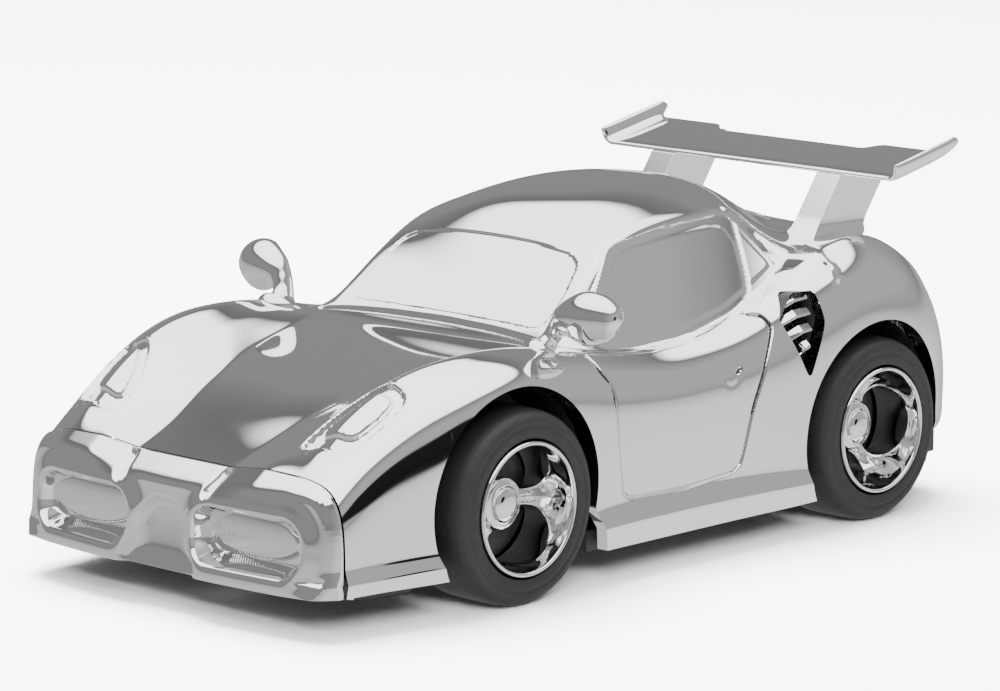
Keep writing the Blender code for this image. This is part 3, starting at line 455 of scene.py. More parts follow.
NYLON = material("nylon_gear", (0.8, 0.8, 0.76), 0, (0.35, 0.5), 0.006, 0.5, 0.04)
CASE = material("motor_case_plastic", (0.3, 0.31, 0.33), 0, (0.35, 0.5), 0.012, 0.35, 0.08)
FINISHES = {"body_chrome": CHROME, "lamp_chrome": LAMP_CHROME, "rim_chrome": RIM_CHROME, "grille": BLACK,
            "chassis_plastic": BLACK, "tyre_rubber": RUBBER, "screw_steel": STEEL, "axle_steel": STEEL,
            "motor_case": CASE, "spring_steel": SPRING, "brass": BRASS, "nylon": NYLON}
for part in frame["record"]["subparts"]:
    for slot in frame["nodes"][part["node"]].material_slots:
        slot.material = FINISHES[part["material_slot"]]


# ---- body ----
S_CELL, T_CELL = 0.25, 0.125
# outlines in the Y-Z plane
CRISP = 0.09
WINDOW = smooth_curve([(-7.6, 26.2), (-4.3, 30.9), (0.0, 35.1), (1.8, 35.8), (10, 36.7), (20.9, 37.0),
                       (22.8, 36.2), (25.5, 31.0), (22.4, 29.4), (15.6, 26.8), (7.1, 24.9), (0, 24.5),
                       (-4.6, 24.8)], True, CRISP)
PANE = smooth_curve([(-5.4, 27.2), (-2.7, 30.7), (0.9, 34.1), (3.2, 34.9), (18.0, 36.0), (20.4, 35.7),
                     (21.0, 33.8), (19.3, 29.0), (14.9, 27.4), (7.1, 25.7), (0, 25.3), (-4.0, 25.6)],
                    True, CRISP)
QUARTER = smooth_curve([(22.3, 35.3), (24.4, 31.2), (22.4, 30.3), (20.2, 29.4), (21.7, 33.6)], True, CRISP)
DIVIDER = smooth_curve([(22.6, 36.4), (21.7, 33.8), (19.9, 29.0), (18.6, 28.0)])
DOOR = smooth_curve([(-11.6, 25.4), (-11.3, 23.8), (-10.2, 22.4), (-9.9, 16), (-8.6, 9.2), (1, 8.8),
                     (11.4, 9.5), (13.3, 16.8), (16.2, 22.5), (17.9, 25.4), (17.4, 26.6),
                     (15.7, 26.9)], False, 0.12)
HANDLE, HANDLE_R = np.array((9.8, 21.1)), 1.5
HANDLE_SLOT = np.array([(10.9, 20.9), (11.5, 21.3)])
INTAKE = smooth_curve([(21.2, 28.9), (25.3, 28.7), (25.7, 25.1), (22.7, 18.6), (19.2, 25.8)], True, CRISP)
# stretches of the panel grooves painted black: painted shade in them
PAINTED_SHADE_LINES = (DOOR[np.argmax(DOOR[:, 0]) - 9:np.argmax(DOOR[:, 0]) + 4], DOOR[1:6], HANDLE_SLOT)
# outlines in the X-Y plane
# the cowl line, along which painted shade is put on the body
COWL_SHADE_LINE = smooth_curve([(0.5, -10.9), (8, -11.2), (14, -11.9), (16.4, -12.5)])
COWL = smooth_curve([(-8, -11.0), (0, -10.9), (8, -11.2), (14, -11.9), (17.6, -12.8)])
SCREEN_HALF = [(0, -9.8), (9, -10.0), (15.2, -10.5), (15.0, -6), (13.6, -2.0), (6, -1.8), (0, -1.8)]
SCREEN = smooth_curve(SCREEN_HALF + [(-x, y) for x, y in SCREEN_HALF[-2:0:-1]], True)
REAR_HALF = [(0, 28.8), (6.4, 29.2), (8.6, 31.5), (7.2, 40.6), (0, 41.2)]
REAR_SCREEN = smooth_curve(REAR_HALF + [(-x, y) for x, y in REAR_HALF[-2:0:-1]], True)
LAMP = smooth_curve([(14.3, -48.2), (21.4, -47.7), (22.4, -43), (22.4, -38.8), (18.6, -38.8),
                     (15.4, -43.5)], True)
LENS = smooth_curve([(15.7, -46.4), (20.5, -46.2), (21.4, -43), (21.4, -40.2), (19.0, -40.2),
                     (16.6, -43.4)], True)
PILLAR = smooth_curve([(13.6, 23.0), (16.1, 26.4), (18.7, 28.0), (22.0, 28.3), (25.2, 29.2)])
HAUNCH = smooth_curve([(17.2, 34.4), (19.5, 31.2), (24.2, 28.8)])


def bump(distance, width):
    return np.exp(-(distance / width) ** 2)


def panel(curve, points, depth, edge=0.12):
    """A flat area let into the skin within an outline."""
    return depth * (1 - step(signed_distance(curve, points), -edge, edge))


def glass_fit():
    """Terms of the gently curved sheet that the side glass lies in, fitted to the skin behind it."""
    s, t = np.meshgrid(np.linspace(3.4, 8, 30), np.linspace(8.5, 14, 60))
    p = skin(s, t).reshape(-1, 3)
    p = p[inside(WINDOW, p[:, 1:])]
    return np.linalg.lstsq(glass_terms(p), p[:, 0], rcond=None)[0]


def glass_terms(points):
    y, z = points[:, 1] / 10, points[:, 2] / 10
    return np.stack([np.ones_like(y), y, z, y * y, y * z], 1)


GLASS = glass_fit()
GLASS_INSET = 0.3


def relief(points, s):
    """How far each point of the skin is let in, from the lines and panels of the body."""
    side, plan = points[:, 1:], points[:, :2]
    depth = np.zeros(len(points))
    flank = (s > 2.2) & (s < 10)
    p = side[flank]
    depth[flank] -= panel(PANE, p, 0.07, 0.3) + panel(QUARTER, p, 0.05, 0.2)
    depth[flank] += 0.2 * bump(distance_to(DIVIDER, p), 0.16)
    low = s > 8
    p = side[low]
    depth[low] += 0.42 * bump(distance_to(DOOR, p), 0.17)
    radius = np.hypot(*(p - HANDLE).T)
    depth[low] += 0.035 * bump(radius - HANDLE_R, 0.35) - 0.03 * bump(radius, 0.9)
    depth[low] += 0.25 * bump(distance_to(HANDLE_SLOT, p), 0.2)
    top = s < 11
    p = plan[top]
    depth[top] += 0.5 * bump(distance_to(COWL, p), 0.34)
    depth[top] += panel(SCREEN, p, 0.24) * (points[top, 2] < 37.3) + panel(REAR_SCREEN, p, 0.24)
    depth[top] += panel(LAMP, p, 0.85, 0.16) - panel(LENS, p, 0.6, 0.28)
    depth[top] -= 0.14 * bump(distance_to(LAMP, p), 0.4)
    depth[top] -= 0.3 * bump(distance_to(PILLAR, p), 0.5) + 0.16 * bump(distance_to(HAUNCH, p), 0.45)
    return depth


def body_place(u, v):
    s, t = u * S_CELL, v * T_CELL
    base, d = skin(s, t), 0.01
    across = skin(s + d, t) - skin(s - d, t)
    across[:, 0] = np.where(s < d, np.abs(across[:, 0]) + 1e-9, across[:, 0])
    along = skin(s, t + d) - skin(s, t - d)
    normal = np.cross(across, along)
    normal /= np.linalg.norm(normal, axis=1, keepdims=True) + 1e-12
    normal[s <= 0, 0] = 0
    glazed = (s > 2.2) & (s < 9.5)
    flat = glass_terms(base[glazed]) @ GLASS - GLASS_INSET
    share = 1 - step(signed_distance(WINDOW, base[glazed, 1:]), -0.12, 0.08)
    points = base - relief(base, s)[:, None] * normal
    points[glazed, 0] += share * (flat - base[glazed, 0])
    points[s <= 0, 0] = 0
    return points


def arch_field(points, arch):
    """Positive outside the arch; the front one opens out rearwards below the axle."""
    (y, z), radius = arch
    field = np.hypot(points[:, 1] - y, points[:, 2] - z) - radius
    if y < 0:
        behind = points[:, 1] - (-13.45 + 0.3 * (9 - points[:, 2]))
        field = np.where((points[:, 2] < 9.5) & (points[:, 1] > y), np.minimum(field, behind), field)
    return np.where(points[:, 0] > 20, field, 1)


def intake_field(points):
    return np.where(points[:, 0] > 20, signed_distance(INTAKE, points[:, 1:]), 1)


def body_detail(points, level):
    """Distance to the nearest line that still needs finer cells at this level."""
    side, plan = points[:, 1:], points[:, :2]
    out = points[:, 0] > 12
    far = np.full(len(points), 1e3)
    near = far.copy()
    near = np.minimum(near, np.where(out, distance_to(DOOR, side) - 0.2, far))
    if level > 1:
        return near
    near = np.minimum(near, np.where(out, np.hypot(*(side - HANDLE).T) - 1.8, far))
    near = np.minimum(near, np.where(points[:, 2] < 37, distance_to(SCREEN, plan) - 0.12, far))
    near = np.minimum(near, distance_to(LAMP, plan) - 0.2)
    for curve, margin in ((WINDOW, 0.15), (PANE, 0.2), (QUARTER, 0.2), (DIVIDER, 0.25), (INTAKE, 0.1)):
        near = np.minimum(near, np.where(out, distance_to(curve, side) - margin, far))
    for curve, margin in ((COWL, 0.4), (REAR_SCREEN, 0.1), (LENS, 0.2), (PILLAR, 0.3), (HAUNCH, 0.2)):
        near = np.minimum(near, distance_to(curve, plan) - margin)
    for arch in ARCHES.values():
        near = np.minimum(near, np.abs(arch_field(points, arch)))
    return near


def body_shell():
    cells = (round(S_END / S_CELL), round(T_END / T_CELL))
    fields = [lambda p, arch=arch: arch_field(p, arch) for arch in ARCHES.values()] + [intake_field]
    points, normals, polygons = adaptive_sheet(body_place, body_detail, cells, 3, fields)
    normals[points[:, 0] < 1e-6, 0] = 0
    shell = Shell()
    start = shell.add(points, polygons, normals)
    middles = np.array([points[loop].mean(0) for loop in polygons])
    # polygons along the door line, handle slot and cowl line get the black finish: painted shade in the
    # grooves
    painted_shade = np.full(len(middles), False)
    for curve in PAINTED_SHADE_LINES:
        painted_shade |= (distance_to(curve, middles[:, 1:]) < 0.2) & (middles[:, 0] > 20)
    painted_shade |= (distance_to(COWL_SHADE_LINE, middles[:, :2]) < 0.16) & (middles[:, 2] < 30)
    shell.finish = painted_shade.astype(int).tolist()
    tail = points[:, 1].max() - 0.15
    rims = [(a, b) for a, b in boundary_edges(polygons) if max(points[a, 0], points[b, 0]) > 1e-3]

    def offset(index):
        x, y = points[index, :2]
        if y < SEAM_Y + 0.02:
            return np.array((-0.02 * x, LIP, -0.4))
        if y > tail:
            return np.array((-0.06 * x, -LIP, 0))
        return np.array((-LIP, 0, 0))

    shell.lip(start, rims, offset)
    return piece(shell.mirrored().make("chromed_body", CHROME, BLACK), "car", "body_chrome", "body_shell")


# ---- front bumper ----
BUMPER_BACK = SEAM_Y - GAP
BUMPER_BOTTOM = 4.6
BUMPER_HALF = 24.6
POD_CENTRE = (13.0, 9.5)
POD_HALF = (8.2, 3.5)
POD_CORNER = 3.0
POCKET_WALL = 1.5
POCKET_FLOOR = 1.2
CHIN_HALF = [(0, 12.3), (2.0, 12.2), (4.0, 10.2), (6.8, 3.0)]
CHIN = smooth_curve(CHIN_HALF + [(-x, z) for x, z in CHIN_HALF[:0:-1]], True)
NOTCH = np.array([(7.7, 16.6), (6.9, 14.0)])
SIDE_SLOT = np.array([(20.8, 6.4), (23.2, 6.4)])
SEAM_OUTLINE = skin(np.linspace(0, S_END, 90), 0.0)[:, (0, 2)]


def pod_distance(x, z):
    """Signed distance to the rim of the lamp pocket, positive outside."""
    dx = np.abs(x - POD_CENTRE[0]) - POD_HALF[0] + POD_CORNER
    dz = np.abs(z - POD_CENTRE[1]) - POD_HALF[1] + POD_CORNER
    return np.hypot(np.maximum(dx, 0), np.maximum(dz, 0)) + np.minimum(np.maximum(dx, dz), 0) - POD_CORNER


def soft_min(a, b, blend):
    h = np.clip(0.5 + 0.5 * (b - a) / blend, 0, 1)
    return b * (1 - h) + a * h - blend * h * (1 - h)


def bumper_reach(x, z):
    """How far the bumper's face stands in front of its back plane."""
    points = np.stack([x, z], 1)
    edge = distance_to(SEAM_OUTLINE, points, 30)
    face = 3.1 + 0.9 * np.clip((13.5 - z) / 8.9, 0, 1) ** 2 - 1.3 * (x / 21) ** 2
    pod = pod_distance(x, z)
    face = face + 0.9 * np.exp(-(np.clip(pod, 0, None) / 1.3) ** 2) + 0.5 * bump(z - BUMPER_BOTTOM, 1.1)
    face -= 0.8 * (1 - step(signed_distance(CHIN, points, 3), -1.0, 0.5))
    reach = soft_min(0.35 + 1.35 * edge, face, 0.9)
    reach -= 1.5 * bump(distance_to(NOTCH, points, 3), 0.5) * step(reach, 0, 1.6)
    reach -= 0.3 * bump(distance_to(SIDE_SLOT, points, 2), 0.3)
    pocket = 1 - step(pod, -POCKET_WALL, -0.1)
    return np.maximum(reach * (1 - pocket) + POCKET_FLOOR * pocket, 0.3)


def bumper_place(u, v, cells):
    x = BUMPER_HALF * np.sin(math.pi / 2 * u / cells[0])
    rising = SEAM_OUTLINE[:66]
    top = np.interp(x, rising[:, 0], rising[:, 1])
    share = 1 - (1 - v / cells[1]) ** 1.5
    z = BUMPER_BOTTOM + share * (np.maximum(top, BUMPER_BOTTOM + 1.5) - BUMPER_BOTTOM)
    return np.stack([x, BUMPER_BACK - bumper_reach(x, z), z], 1)


def bumper_detail(points, level):
    x, z = points[:, 0], points[:, 2]
    flat = points[:, ::2]
    near = np.minimum(np.abs(pod_distance(x, z) + POCKET_WALL / 2) - POCKET_WALL / 2 - 0.2,
                      distance_to(NOTCH, flat, 3) - 0.8)
    if level < 1:
        near = np.minimum(near, distance_to(SEAM_OUTLINE, flat, 5) - 2.2)
        near = np.minimum(near, distance_to(CHIN, flat, 5) - 1.2)
        near = np.minimum(near, distance_to(SIDE_SLOT, flat, 5) - 0.5)
    return near


def front_bumper():
    cells = (72, 40)
    points, normals, polygons = adaptive_sheet(lambda u, v: bumper_place(u, v, cells), bumper_detail,
                                               cells, 2)
    normals[points[:, 0] < 1e-6, 0] = 0
    shell = Shell()
    start = shell.add(points, [loop[::-1] for loop in polygons] if normals[0, 1] > 0 else polygons,
                      -normals if normals[0, 1] > 0 else normals)
    rims = [(a, b) for a, b in boundary_edges(shell.polygons) if max(points[a, 0], points[b, 0]) > 1e-3]
    shell.lip(start, rims, lambda index: np.array((0, BUMPER_BACK - points[index, 1], 0)))
    return piece(shell.mirrored().make("bumper", CHROME), "car", "body_chrome", "front_bumper")


RIB_PITCH = 0.42


def lamp_insert(side, label):
    """The pocket's floor: a shallow dome with fine upright ribs over its lower half."""
    half = (POD_HALF[0] - 1.1, POD_HALF[1] - 0.9)
    cells = (150, 40)

    def place(u, v):
        x = half[0] * (2 * u / cells[0] - 1)
        z = half[1] * (2 * v / cells[1] - 1)
        r2 = (x / half[0]) ** 2 + (z / half[1]) ** 2
        ribs = 0.05 * np.sin(2 * math.pi * x / RIB_PITCH) * step(-z, -0.2, 0.9)
        edge = step(np.sqrt(r2), 0.88, 1.12)
        rise = 1.75 + 0.3 * (1 - r2) - 0.9 * edge + ribs * (1 - edge)
        return np.stack([side * POD_CENTRE[0] + x, BUMPER_BACK - rise, POD_CENTRE[1] + z + 0.5], 1)

    def field(points):
        x = (points[:, 0] - side * POD_CENTRE[0]) / half[0]
        z = (points[:, 2] - POD_CENTRE[1] - 0.5) / half[1]
        return 1 - (np.abs(x) ** 3 + np.abs(z) ** 3) ** (1 / 3)

    points, normals, polygons = adaptive_sheet(place, lambda p, level: np.full(len(p), 1e3), cells, 0,
                                               [field])
    shell = Shell()
    start = shell.add(points, polygons, normals)
    shell.lip(start, boundary_edges(polygons), lambda index: np.array((0, 0.5, 0)))
    return piece(shell.make("lamp_lens_" + label, LAMP_CHROME), "car", "lamp_chrome", "lamp_insert_" + label)


# ---- wheels ----
RIM_R = 7.65
HOLE_R, HOLE_HALF, HOLE_SWEEP = 4.9, 2.0, 0.86
RIM_PROFILE = smooth_curve([(0, 25.3), (1.2, 25.2), (1.9, 24.8), (2.0, 24.4), (2.8, 24.3), (3.0, 23.9),
                            (3.1, 23.4), (4.6, 23.8), (6.1, 25.0), (6.9, 27.0), (7.05, 28.2), (7.25, 28.4),
                            (7.5, 28.35), (7.63, 28.0), (RIM_R, 26.5)])
RIM_PATH = np.concatenate([[0], np.cumsum(np.hypot(*np.diff(RIM_PROFILE, axis=0).T))])


def bean_field(y, z, turn):
    """Positive outside the three bean-shaped holes between the spokes."""
    radius, angle = np.hypot(y, z), np.arctan2(z, y) - math.radians(turn + 60)
    away = np.abs((angle + math.pi / 3) % (2 * math.pi / 3) - math.pi / 3)
    reach = (np.abs((radius - HOLE_R) / HOLE_HALF) ** 2.6 + np.abs(away / HOLE_SWEEP) ** 2.6) ** (1 / 2.6)
    return (reach - 1) * HOLE_HALF


def rim(side, label, axle_y, turn, body, node):
    """A deep dish with three large holes, a hub with a domed cap and a rolled lip."""
    cells = (56, 96)

    def place(u, v):
        path = np.clip(u / cells[0], 0, 1) * RIM_PATH[-1]
        radius = np.interp(path, RIM_PATH, RIM_PROFILE[:, 0])
        out = np.interp(path, RIM_PATH, RIM_PROFILE[:, 1])
        angle = 2 * math.pi * v / cells[1] + math.radians(turn)
        y, z = radius * np.cos(angle), radius * np.sin(angle)
        hole = bean_field(y, z, turn)
        dish = step(radius, 2.9, 3.3) * (1 - step(radius, 6.8, 7.1))
        out = out - 0.7 * bump(np.maximum(hole, 0), 0.45) * dish
        spoke = (np.arctan2(z, y) - math.radians(turn) + math.pi / 3) % (2 * math.pi / 3) - math.pi / 3
        rib = bump(np.abs(spoke) * radius - 0.45, 0.2) * step(radius, 2.9, 3.2) * (1 - step(radius, 4.6, 5.6))
        out = out + 0.22 * rib
        return np.stack([out, y, z], 1)

    def detail(points, level):
        return np.abs(bean_field(points[:, 1], points[:, 2], turn)) - 0.3

    points, normals, polygons = adaptive_sheet(place, detail, cells, 1,
                                               [lambda p: bean_field(p[:, 1], p[:, 2], turn)])
    if normals[np.argmax(points[:, 0]), 0] < 0:
        normals, polygons = -normals, [loop[::-1] for loop in polygons]
    shell = Shell()
    start = shell.add(points, polygons, normals)
    radii = np.hypot(points[:, 1], points[:, 2])
    seams = [(a, b) for a, b in boundary_edges(polygons) if max(radii[a], radii[b]) < RIM_R - 0.05 and
             min(abs(bean_field(points[[a, b], 1], points[[a, b], 2], turn))) < 0.02]
    shell.lip(start, seams, lambda index: np.array((21.9 - points[index, 0], 0, 0)))
    outer = [(a, b) for a, b in boundary_edges(polygons) if min(radii[a], radii[b]) > RIM_R - 0.02]
    shell.lip(start, outer, lambda index: np.array((18.8 - points[index, 0], 0, 0)))
    back = [(RIM_R, 18.8), (6.9, 18.8), (6.9, 21.2), (0.0, 21.2)]
    rows = [[(x, radius * math.cos(2 * math.pi * k / 96), radius * math.sin(2 * math.pi * k / 96))
             for k in range(96)] for radius, x in back]
    flat = [p for row in rows for p in row]
    quads = [[j * 96 + k, j * 96 + (k + 1) % 96, (j + 1) * 96 + (k + 1) % 96, (j + 1) * 96 + k]
             for j in range(len(back) - 1) for k in range(96)]
    shell.add(flat, quads, finish=1)
    centre = np.array((0, axle_y, AXLE_Z))
    placed = shell.moved(lambda p: p * (side, 1, 1) + centre, side < 0)
    return piece(placed.make("wheel_rim_" + label, RIM_CHROME, BLACK), body, "rim_chrome", node)


TYRE_PROFILE = [(18.6, 7.7), (28.05, 7.7), (28.15, 8.2), (28.2, 8.8), (28.0, 9.2), (28.12, 9.5), (28.0, 10.1),
                (27.5, 10.65), (26.6, 10.93), (25.2, WHEEL_R), (21.2, WHEEL_R), (19.8, 10.93), (18.9, 10.65),
                (18.35, 10.1), (18.2, 9.2), (18.3, 8.2)]


def tyre(side, label, axle_y, body, node):
    profile = smooth_curve(TYRE_PROFILE, True)[:-1]
    sides = 144
    rows = [[(side * x, axle_y + r * math.cos(2 * math.pi * k / sides),
              AXLE_Z + r * math.sin(2 * math.pi * k / sides))
             for x, r in profile] for k in range(sides)]
    made = ring_mesh("tyre_" + label, rows, RUBBER, True)
    return piece(made, body, "tyre_rubber", node)


def ring_mesh(name, rows, finish, closed_rows=False, sharp=40):
    """A smooth closed mesh through rings of points, with capped ends if the rows don't close."""
    bm = bmesh.new()
    verts = [[bm.verts.new(Vector(p) * MM) for p in row] for row in rows]
    count = len(verts[0])
    for j in range(len(verts) - (0 if closed_rows else 1)):
        following = verts[(j + 1) % len(verts)]
        for k in range(count):
            bm.faces.new((verts[j][k], verts[j][(k + 1) % count], following[(k + 1) % count], following[k]))
    if not closed_rows:
        bm.faces.new(verts[0])
        bm.faces.new(verts[-1])
    bmesh.ops.recalc_face_normals(bm, faces=bm.faces)
    mesh = bpy.data.meshes.new(name)
    bm.to_mesh(mesh)
    bm.free()
    mesh.shade_smooth()
    mesh.set_sharp_from_angle(angle=math.radians(sharp))
    made = bpy.data.objects.new(name, mesh)
    bpy.context.scene.collection.objects.link(made)
    mesh.materials.append(finish)
    return made


def bevelled(made, width, segments=3):
    rounding = made.modifiers.new("rounding", "BEVEL")
    rounding.width = width * MM
    rounding.segments = segments
    rounding.limit_method = "ANGLE"
    rounding.angle_limit = math.radians(30)
    rounding.harden_normals = True
    return made


# ---- rear wing ----
BLADE_HALF = 23.4
BLADE_LEAD, BLADE_TRAIL = (43.1, 39.6), (53.6, 41.8)
NOTCH_HALF, NOTCH_DEPTH = 12.4, 1.9
BEND_R = 1.3
PLATE_RISE = 2.0
STRUT_X = (11.4, 15.2)
STRUT_FRONT, STRUT_CHORD, STRUT_LEAN = 37.7, 8.9, 0.72
STRUT_FOOT, STRUT_TOP = 31.6, 41.0


def wing_station(distance):
    """Middle line of the blade and its upturned end: x, rise above the blade, tilt of the sheet."""
    flat = BLADE_HALF - BEND_R
    turn = math.radians(80)
    arc = BEND_R * turn
    if distance <= flat:
        return distance, 0.0, 0.0
    if distance <= flat + arc:
        angle = (distance - flat) / BEND_R
        return flat + BEND_R * math.sin(angle), BEND_R * (1 - math.cos(angle)), angle
    along = distance - flat - arc
    return (flat + BEND_R * math.sin(turn) + along * math.cos(turn),
            BEND_R * (1 - math.cos(turn)) + along * math.sin(turn), turn)


def wing_blade():
    """One bent sheet: the blade, with its notched trailing edge, and both upturned ends."""
    total = BLADE_HALF - BEND_R + BEND_R * math.radians(80) + PLATE_RISE - BEND_R * 0.8
    distances = np.concatenate([np.linspace(0, 10.4, 6), np.linspace(10.9, 13.9, 9), np.linspace(15, 21.6, 5),
                                np.linspace(22.1, total, 16)])
    slope = (BLADE_TRAIL[1] - BLADE_LEAD[1]) / (BLADE_TRAIL[0] - BLADE_LEAD[0])
    shell_rows = []
    for d in np.concatenate([-distances[:0:-1], distances]):
        x, rise, tilt = wing_station(abs(d))
        side = 1 if d >= 0 else -1
        climb = min(1, rise / PLATE_RISE)
        lead = BLADE_LEAD[0] - 0.5 * climb
        notch = NOTCH_DEPTH * (1 - step(np.array(abs(d)), NOTCH_HALF - 1.2, NOTCH_HALF + 1.2))
        trail = BLADE_TRAIL[0] - float(notch) + 1.7 * step(np.array(rise), 0, 1.2)
        end = np.clip((total - abs(d)) / 0.8, 0, 1)
        half = 0.42 * math.sqrt(max(1 - (1 - end) ** 2, 0.01))
        corner = 1.6 * (1 - math.sqrt(max(0, 1 - (1 - min(1, (total - abs(d)) / 1.6)) ** 2)))
        ring = []
        for k in range(28):
            angle = 2 * math.pi * k / 28
            f = 0.5 - 0.5 * math.copysign(abs(math.cos(angle)) ** 0.55, math.cos(angle))
            thick = half * math.copysign(min(1, abs(math.sin(angle)) ** 0.6), math.sin(angle))
            y = lead + f * (trail - corner - lead)
            z = BLADE_LEAD[1] + slope * (y - BLADE_LEAD[0]) + rise
            ring.append((side * (x - thick * math.sin(tilt)), y, z + thick * math.cos(tilt)))
        shell_rows.append(ring)
    made = ring_mesh("wing_blade", shell_rows, CHROME, sharp=60)
    return piece(made, "car", "body_chrome", "rear_wing")


def blade_height(y):
    (lead, low), (trail, high) = BLADE_LEAD, BLADE_TRAIL
    return low + (y - lead) * (high - low) / (trail - lead)


def wing_strut(side, label):
    """A swept upright with rounded edges that flares where it meets the deck."""
    rows = []
    for k in range(13):
        f = k / 12
        z = STRUT_FOOT + f * (STRUT_TOP - STRUT_FOOT)
        flare = 0.5 * (1 - step(np.array(z), 32.2, 33.6))
        front = STRUT_FRONT + STRUT_LEAN * (z - 32.3) - flare
        rear = front + STRUT_CHORD + 2 * flare
        limit = math.inf if k == 12 else z
        ring = []
        for x, y in ((STRUT_X[0] - flare, front), (STRUT_X[1] + flare, front),
                     (STRUT_X[1] + flare, rear), (STRUT_X[0] - flare, rear)):
            ring.append((side * x, y, min(limit, blade_height(y) - 0.1)))
        rows.append(ring)
    made = bevelled(ring_mesh("wing_strut_" + label, rows, CHROME, sharp=30), 0.45)
    return piece(made, "car", "body_chrome", "rear_wing")


# ---- door mirrors ----
# stations along the mirror: centre (x, Y, z), half height, half depth
MIRROR_STATIONS = [
    ((20.9, -16.4, 25.7), 2.4, 3.0), ((21.0, -16.2, 26.4), 2.2, 2.8), ((21.1, -15.8, 27.0), 1.25, 1.7),
    ((21.4, -15.3, 27.9), 1.0, 1.3), ((22.2, -14.9, 29.0), 1.35, 1.5), ((23.6, -14.6, 29.9), 2.3, 2.2),
    ((25.5, -14.2, 30.3), 3.1, 2.7), ((27.1, -13.6, 30.3), 2.9, 2.6), ((28.5, -13.1, 30.1), 2.2, 2.1),
    ((29.2, -12.8, 29.9), 1.3, 1.3), ((29.4, -12.7, 29.8), 0.4, 0.4)]


def door_mirror(side, label):
    """Foot, stalk and rounded head in one swept form, with a flat oval glass face to the rear."""
    centres = np.array([c for c, _, _ in MIRROR_STATIONS], float)
    sizes = np.array([(a, b) for _, a, b in MIRROR_STATIONS], float)
    count = len(centres)
    samples = np.linspace(0, count - 1, 61)

    def blend(values):
        padded = np.concatenate([2 * values[:1] - values[1:2], values, 2 * values[-1:] - values[-2:-1]])
        first = np.minimum(np.floor(samples).astype(int), count - 2)
        f = (samples - first)[:, None]
        p = [padded[first + k] for k in range(4)]
        return 0.5 * ((2 * p[1]) + (p[2] - p[0]) * f + (2 * p[0] - 5 * p[1] + 4 * p[2] - p[3]) * f ** 2
                      + (3 * p[1] - p[0] - 3 * p[2] + p[3]) * f ** 3)

    path, size = blend(centres), blend(sizes)
    ways = np.gradient(path, axis=0)
    rows = []
    for centre, (tall, deep), way in zip(path, size, ways):
        way = way / np.linalg.norm(way)
        back = np.array((-0.25, 1, 0)) - way * (np.array((-0.25, 1, 0)) @ way)
        back /= np.linalg.norm(back)
        up = np.cross(way, back)
        ring = []
        for k in range(40):
            angle = 2 * math.pi * k / 40
            reach = deep * math.cos(angle)
            if centre[2] > 28.5:
                reach = min(reach, 1.0 + 0.1 * deep)
            p = centre + back * reach + up * tall * math.sin(angle)
            ring.append((side * p[0], p[1], p[2]))
        rows.append(ring)
    made = ring_mesh("mirror_housing_" + label, rows, CHROME, sharp=50)
    return piece(made, "car", "body_chrome", "mirror_" + label)


# ---- side intake grilles ----
def side_grille(side, label):
    """A dark pocket behind the intake with four folded slats."""
    shell = Shell()
    outline = INTAKE[:-1]
    middle = outline.mean(0)
    rings = []
    for x, grow in ((25.6, 1.02), (22.4, 0.9), (22.2, 0.0)):
        rings.append([(x, *(middle + (p - middle) * grow)) for p in outline])
    count = len(outline)
    points = [p for ring in rings for p in ring]
    quads = [[j * count + k, j * count + m, (j + 1) * count + m, (j + 1) * count + k]
             for j in range(2) for k, m in zip(range(count), [*range(1, count), 0])]
    shell.add(points, quads)
    placed = shell.moved(lambda p: p * (side, 1, 1), side < 0)
    pocket = placed.make("intake_pocket_" + label, BLACK)
    piece(pocket, "car", "grille", "side_grille_" + label)
    for k in range(4):
        z = 28.0 - 1.75 * k
        front = np.interp(z - 1.2, (19.0, 25.8, 28.9), (22.3, 19.2, 22.1)) + 0.15
        rear = np.interp(z, (19.0, 25.1, 28.5), (22.3, 25.4, 25.4)) - (0.75 + 0.25 * k)
        fold = front + (rear - front) * 0.34
        skin_x = 25.2 + 0.42 * (28.9 - z)
        route = [(front, z - 0.95, skin_x - 0.9), (fold - 0.15, z - 0.2, skin_x - 0.15),
                 (fold + 0.2, z, skin_x), (rear, z + 0.05, skin_x - 0.25)]
        rows = []
        for y, height, x in route:
            rows.append([(side * (x - 1.9), y, height + 0.6), (side * (x - 0.8), y, height + 0.65),
                         (side * (x - 0.1), y, height + 0.05), (side * x, y, height - 0.25),
                         (side * (x - 1.9), y, height - 0.45)])
        slat = bevelled(ring_mesh(f"intake_slat_{label}_{k}", rows, CHROME, sharp=25), 0.1, 2)
        piece(slat, "car", "body_chrome", "side_grille_" + label)


# ---- wheel wells ----
AXLE_HOLE_R = 2.6


def wheel_well(side, label, arch):
    """A dark half drum over the wheel; its inner wall is open round the axle."""
    (y, z), radius = arch
    shell = Shell()
    steps = 60
    angles = [math.radians(-35 + 250 * k / steps) for k in range(steps + 1)]
    rings = [[(x, y + r * math.cos(a), z + r * math.sin(a)) for a in angles]
             for x, r in ((24.6, radius + 0.02), (17.0, radius + 0.02), (16.8, radius - 0.3),
                          (16.8, AXLE_HOLE_R))]
    width = steps + 1
    quads = [[j * width + k, (j + 1) * width + k, (j + 1) * width + k + 1, j * width + k + 1]
             for j in range(3) for k in range(steps)]
    shell.add([p for ring in rings for p in ring], quads)
    placed = shell.moved(lambda p: p * (side, 1, 1), side < 0)
    return piece(placed.make("wheel_well_" + label, BLACK), "car", "chassis_plastic")


body_shell()
front_bumper()
wing_blade()
for side, label in ((1, "left"), (-1, "right")):
    lamp_insert(side, label)
    wing_strut(side, label)
    door_mirror(side, label)
    side_grille(side, label)
    for end, axle_y, turn in (("front", FRONT_AXLE_Y, 0), ("rear", REAR_AXLE_Y, 60)):
        name = f"{end}_{label}"
        wheel_well(side, name, ARCHES[end])
        rim(side, name, axle_y, turn, end + "_wheels", "rim_" + name)
        tyre(side, name, axle_y, end + "_wheels", "tyre_" + name)


